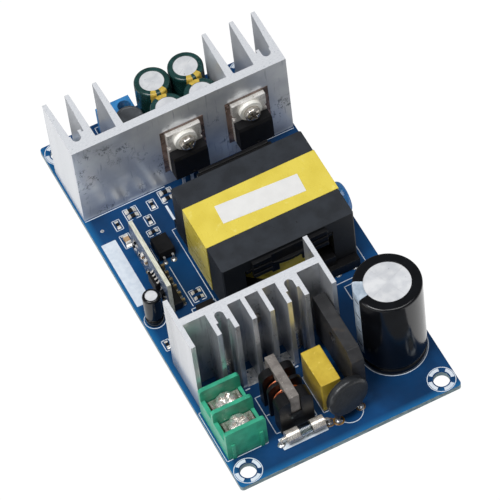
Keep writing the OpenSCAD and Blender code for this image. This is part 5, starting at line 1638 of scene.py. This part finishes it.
@dataclass
class Choke(Assembly):
    """The input choke: grey frame, black former and two copper coils.

    Attributes:
        wire: Diameter of the enamelled wire.
        pitch: Distance between two turns in wires.
        layers: Layers of wire.
        rise: Distance between two layers in wires.
        gap: Half the gap between the coils.
        slack: How far a turn of the outer layer may sag, as a share of its size.
        steps: Steps in a turn.
        seed: Seed of the sagging.
    """

    wire: float = 0.5
    pitch: float = 1.05
    layers: int = 4
    rise: float = 0.9
    gap: float = 0.5
    slack: float = 0.03
    steps: int = 28
    seed: int = 7

    def dress(self) -> None:
        """Gives core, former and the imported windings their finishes."""
        dress(GREY_FERRITE, "choke_core")
        dress(PHENOLIC, "choke_bobbin")
        dress(ENAMELLED, "choke_windings")

    def build(self) -> list[Piece]:
        """Winds both coils turn by turn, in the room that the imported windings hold.

        Returns:
            The coils.
        """
        room = Extent.of("choke_windings")
        coils = Shape()
        rng = random.Random(self.seed)
        start = self.gap + self.wire / 2
        span = room.size.y / 2 - self.gap - self.wire
        count = int(span / (self.wire * self.pitch)) * self.steps
        for side in (-1, 1):
            for layer in range(self.layers):
                wide = room.size.x / 2 - self.wire / 2 - layer * self.wire * self.rise
                high = room.size.z / 2 - self.wire / 2 - layer * self.wire * self.rise
                path = []
                for k in range(count + 1):
                    angle = 2 * math.pi * k / self.steps
                    along = start + span * k / count
                    share = 1 - (0.0 if layer else self.slack * rng.random())
                    path.append(Vector((room.mid.x + share * wide * math.cos(angle),
                                        room.mid.y + side * along,
                                        room.mid.z + share * high * math.sin(angle))))
                coils.sweep(path, self.wire / 2)
        return [coils.piece("choke_coils", ENAMELLED, "enamelled_copper", Crease.ROUND,
                            ("choke_windings",))]


@dataclass
class InputParts(Assembly):
    """The single parts round the others: fuse, film capacitor, bridge, discs and inductor.

    Attributes:
        element: Radius of the fuse's wire.
        sag: How far the wire hangs down in the middle.
        sway: How far it swings aside.
        steps: Steps along the wire.
    """

    element: float = 0.11
    sag: float = 0.5
    sway: float = 0.25
    steps: int = 40

    def dress(self) -> None:
        """Gives the parts their finishes."""
        dress(GLASS, "fuse_tube")
        dress(DULL_NICKEL, "fuse_caps")
        dress(YELLOW_BOX, "film_capacitor")
        dress(STAINED_EPOXY, "bridge_body")
        dress(TINNED, "bridge_leads")
        dress(DARK_DIP, "inrush_disc")
        dress(GREY_SLEEVE, "output_inductor")
        dress(BLUE_DIP, "safety_disc")

    def build(self) -> list[Piece]:
        """Strings the fuse's element between its caps.

        Returns:
            The element.
        """
        tube = Extent.of("fuse_tube")
        wire = Shape()
        wire.sweep([Vector((tube.lo.x + tube.size.x * k / self.steps,
                            tube.mid.y + self.sway * math.sin(3 * k / self.steps),
                            tube.mid.z - self.sag * math.sin(math.pi * k / self.steps)))
                    for k in range(self.steps + 1)], self.element)
        return [wire.piece("fuse_element", TINNED, "tinned_copper", Crease.ROUND)]


# Place on the face, turn in degrees, length, width, height and form of a chip.
ChipRow = tuple[float, float, float, float, float, float, Form]


@dataclass
class ChipCarrier(Assembly):
    """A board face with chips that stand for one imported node.

    Attributes:
        node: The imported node.
        prefix: Start of the names of the chips' pieces.
        rows: The chips.
    """

    node: str
    prefix: str
    rows: tuple[ChipRow, ...]

    def face(self) -> Matrix:
        """Returns the frame of the face, with Z out of it."""
        raise NotImplementedError

    def build(self) -> list[Piece]:
        """Mounts the chips.

        Returns:
            Their dark bodies, their ceramic bodies and their metal.
        """
        bodies, tan, ends = Shape(), Shape(), Shape()
        for x, y, turn, length, width, height, form in self.rows:
            chip = Chip(self.face() @ at(x, y, 0, turn), length, width, height, form)
            chip.add_to(tan if form is Form.CERAMIC else bodies, ends)
        return [bodies.piece(f"{self.prefix}_bodies", EPOXY, "black_epoxy_mould", Crease.CRISP,
                             (self.node,)),
                tan.piece(f"{self.prefix}_ceramics", TAN_CERAMIC, "white_nylon", Crease.CRISP),
                ends.piece(f"{self.prefix}_metal", TIN_PLATE, "tinned_copper", Crease.CRISP)]


@dataclass
class ControlBoard(ChipCarrier):
    """The upright control board, its header and the coupler beside it."""

    node: str = "control_chips"
    prefix: str = "control_chip"
    rows: tuple[ChipRow, ...] = (
        (-4.5, -0.7, 0, 4.9, 3.9, 1.5, Form.DRIVER), (1.3, 1.2, 90, 1.6, 0.9, 0.8, Form.CERAMIC),
        (3.4, 1.2, 90, 1.6, 0.9, 0.8, Form.CERAMIC), (5.8, -1.7, 0, 1.6, 0.8, 0.5, Form.RESISTOR),
        (8.2, 1.0, 0, 1.6, 0.8, 0.5, Form.RESISTOR), (9.6, -2.4, 0, 1.6, 0.8, 0.5, Form.RESISTOR),
        (0.4, -3.4, 0, 1.6, 0.8, 0.5, Form.RESISTOR), (-9.0, -0.8, 90, 2.9, 1.4, 1.1, Form.MOULDED))

    def dress(self) -> None:
        """Gives board, header, coupler and packed chips their finishes."""
        dress(DARK_LAMINATE, "control_board")
        dress(PHENOLIC, "control_header")
        dress(FLUXED_TIN, "header_pins")
        dress(TINNED, "coupler_legs")
        dress(EPOXY, "coupler_body", self.node)

    def face(self) -> Matrix:
        """Returns the frame of the control board's left face, with Z to the left."""
        sheet = Extent.of("control_board")
        return Matrix(((0, 0, -1, sheet.lo.x), (1, 0, 0, sheet.mid.y), (0, 1, 0, sheet.mid.z),
                       (0, 0, 0, 1)))


# Length, width, height and form of the two common sizes of resistor.
SMALL = (1.7, 0.9, 0.5, Form.RESISTOR)
WIDE = (2.0, 1.2, 0.55, Form.RESISTOR)


@dataclass
class ChipParts(ChipCarrier):
    """The chips on the main board.

    Attributes:
        frames: For each printed frame round a chip or a pair its middle, half its sides and the
            share of the sides along X that is left open.
    """

    node: str = "chip_parts"
    prefix: str = "chip"
    rows: tuple[ChipRow, ...] = (
        (-24.6, 28.54, 90, *SMALL), (-24.6, 22.64, 90, 2.6, 1.6, 1.1, Form.CERAMIC),
        (-19.6, 31.1, 0, *WIDE), (-19.6, 29.3, 0, *WIDE), (-13.5, 30.04, 90, *SMALL),
        (-16.4, 25.74, 90, *SMALL), (-17.1, 21.74, 0, *SMALL), (-15.7, -3.56, 0, *SMALL),
        (-15.7, -1.56, 0, *SMALL), (-15.7, -8.46, 0, 5.0, 3.6, 2.2, Form.DIODE),
        (-29.8, -13.06, 90, *SMALL), (-8.65, 32.0, 0, *WIDE), (-8.8, 29.8, 0, *WIDE))
    frames: tuple[tuple[float, float, float, float, float], ...] = (
        (-24.6, 28.54, 1.05, 1.75, 0.0), (-24.6, 22.64, 1.4, 2.3, 0.0),
        (-19.6, 30.2, 2.0, 2.0, 0.3), (-13.5, 30.04, 1.05, 1.75, 0.0),
        (-16.4, 25.74, 1.05, 1.75, 0.0), (-17.1, 21.74, 1.75, 1.05, 0.3),
        (-15.7, -2.56, 1.8, 2.05, 0.3), (-15.7, -8.46, 3.5, 2.4, 0.5),
        (-29.8, -13.06, 1.05, 1.75, 0.0), (-8.65, 30.9, 2.0, 2.2, 0.4))

    def dress(self) -> None:
        """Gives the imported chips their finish."""
        dress(EPOXY, self.node)

    def face(self) -> Matrix:
        """Returns the frame of the main board's top."""
        return Matrix.Translation((0, 0, Extent.of("circuit_board").hi.z))


# ---------------------------------------------------------------- photograph


@dataclass(frozen=True)
class Lamp:
    """A soft square white light.

    Attributes:
        name: Name of the light.
        place: Where it stands.
        side: Length of its side.
        watts: Power.
    """

    name: str
    place: Triple
    side: float
    watts: float

    def light(self) -> None:
        """Hangs the light and aims it at the object."""
        data = bpy.data.lights.new(self.name, "AREA")
        data.shape = "SQUARE"
        data.size = self.side * MM
        data.energy = self.watts
        made = bpy.data.objects.new(self.name, data)
        made.location = Vector(self.place) * MM
        made.rotation_euler = (-made.location).to_track_quat("-Z", "Y").to_euler()
        bpy.context.scene.collection.objects.link(made)


@dataclass
class Studio:
    """White sweep, soft lights and the camera of the photograph.

    Attributes:
        eye: Where the camera stands.
        right: Its right in the object's frame.
        up: Its up in the object's frame.
        lens: Focal length.
        sensor: Width of the sensor.
        reach: How far the camera sees, in metres.
        lamps: The lights.
        floor_z: Height of the floor, under the lowest screw heads.
        half: Half the floor's side.
        seam: How far to the left and right the floor's middle sheet reaches, just past the board.
        mirror: Y up to which the right sheet shows in gloss.
        fibre: Size of the paper's clouds.
        glow: Strength of the light that the floor gives off.
        sky: Colour of the room's light.
        ambient: Strength of the room's light.
    """

    eye: Triple = (-210.569, -579.973, 898.056)
    right: Triple = (0.891105, -0.446958, -0.078482)
    up: Triple = (0.409337, 0.717034, 0.564186)
    lens: float = 291.18
    sensor: float = 36.0
    reach: float = 10.0
    lamps: tuple[Lamp, ...] = (Lamp("key_light", (-420, -120, 820), 420, 5.6),
                               Lamp("top_light", (150, -140, 940), 500, 3.2),
                               Lamp("side_light", (-840, -60, 190), 300, 0.72))
    floor_z: float = -2.02
    half: float = 1600.0
    seam: float = 33.0
    mirror: float = -10.0
    fibre: float = 40.0
    glow: float = 1.04
    sky: str = "#eef2f7"
    ambient: float = 0.2

    def build(self) -> None:
        """Sets up floor, world, lights and camera."""
        self.lay_floor()
        self.fill_world()
        for lamp in self.lamps:
            lamp.light()
        self.set_camera()
        bpy.context.scene.view_settings.view_transform = "Standard"

    def paper(self) -> bpy.types.Material:
        """Makes the floor's backlit white paper.

        Returns:
            The material.
        """
        made = bpy.data.materials.new("sweep_paper_backlit")
        made.use_nodes = True
        tree = made.node_tree
        tree.nodes.clear()
        place = add(tree, "TexCoord").outputs["Object"]
        tone = add(tree, "ValToRGB", {"stops": ((0.3, "#fdfdfd"), (0.7, "#ffffff"))},
                   {"Fac": mottle(tree, place, self.fibre)}).outputs["Color"]
        light = add(tree, "Emission", {"Strength": self.glow}, {"Color": tone})
        add(tree, "OutputMaterial", links={"Surface": light.outputs["Emission"]})
        return made

    def lay_floor(self) -> None:
        """Lays the glowing white sweep in sheets, of which two show in gloss."""
        paper = self.paper()
        far, left, right, back = self.half, -self.seam, self.seam, self.mirror
        for name, shows, lo, hi in (("sweep_left", True, (-far, -far), (left, far)),
                                    ("sweep_right", True, (right, -far), (far, back)),
                                    ("sweep_back", False, (right, back), (far, far)),
                                    ("sweep_middle", False, (left, -far), (right, far))):
            mesh = bpy.data.meshes.new(name)
            outline = (lo, (hi[0], lo[1]), hi, (lo[0], hi[1]))
            mesh.from_pydata([(x * MM, y * MM, 0) for x, y in outline], [], [(0, 1, 2, 3)])
            mesh.materials.append(paper)
            made = bpy.data.objects.new(name, mesh)
            made.location.z = self.floor_z * MM
            made.visible_glossy = shows
            bpy.context.scene.collection.objects.link(made)

    def fill_world(self) -> None:
        """Fills the room with even white light."""
        world = bpy.data.worlds.new("white_room")
        bpy.context.scene.world = world
        world.use_nodes = True
        ground = world.node_tree.nodes["Background"]
        ground.inputs["Color"].default_value = linear(self.sky)
        ground.inputs["Strength"].default_value = self.ambient

    def set_camera(self) -> None:
        """Stands the camera where the photograph was taken."""
        data = bpy.data.cameras.new("photo_camera")
        data.lens = self.lens
        data.sensor_width = self.sensor
        data.clip_end = self.reach
        made = bpy.data.objects.new("photo_camera", data)
        right, up = Vector(self.right), Vector(self.up)
        turn = Matrix((right, up, right.cross(up))).transposed().to_4x4()
        made.matrix_world = Matrix.Translation(Vector(self.eye) * MM) @ turn
        bpy.context.scene.collection.objects.link(made)
        bpy.context.scene.camera = made


def main() -> None:
    """Dresses and builds every sub-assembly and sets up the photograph."""
    logging.basicConfig(level=logging.INFO, format="%(name)s: %(message)s")
    for part in (Board(), Heatsinks(), PowerDevices(), Transformer(), Capacitors(), Terminals(),
                 Choke(), InputParts(), ControlBoard(), ChipParts()):
        part.dress()
        for piece in part.build():
            LOG.info("%s: %s, %d faces", type(part).__name__, piece.name, len(piece.data.polygons))
    Studio().build()


if __name__ == "__main__":
    main()
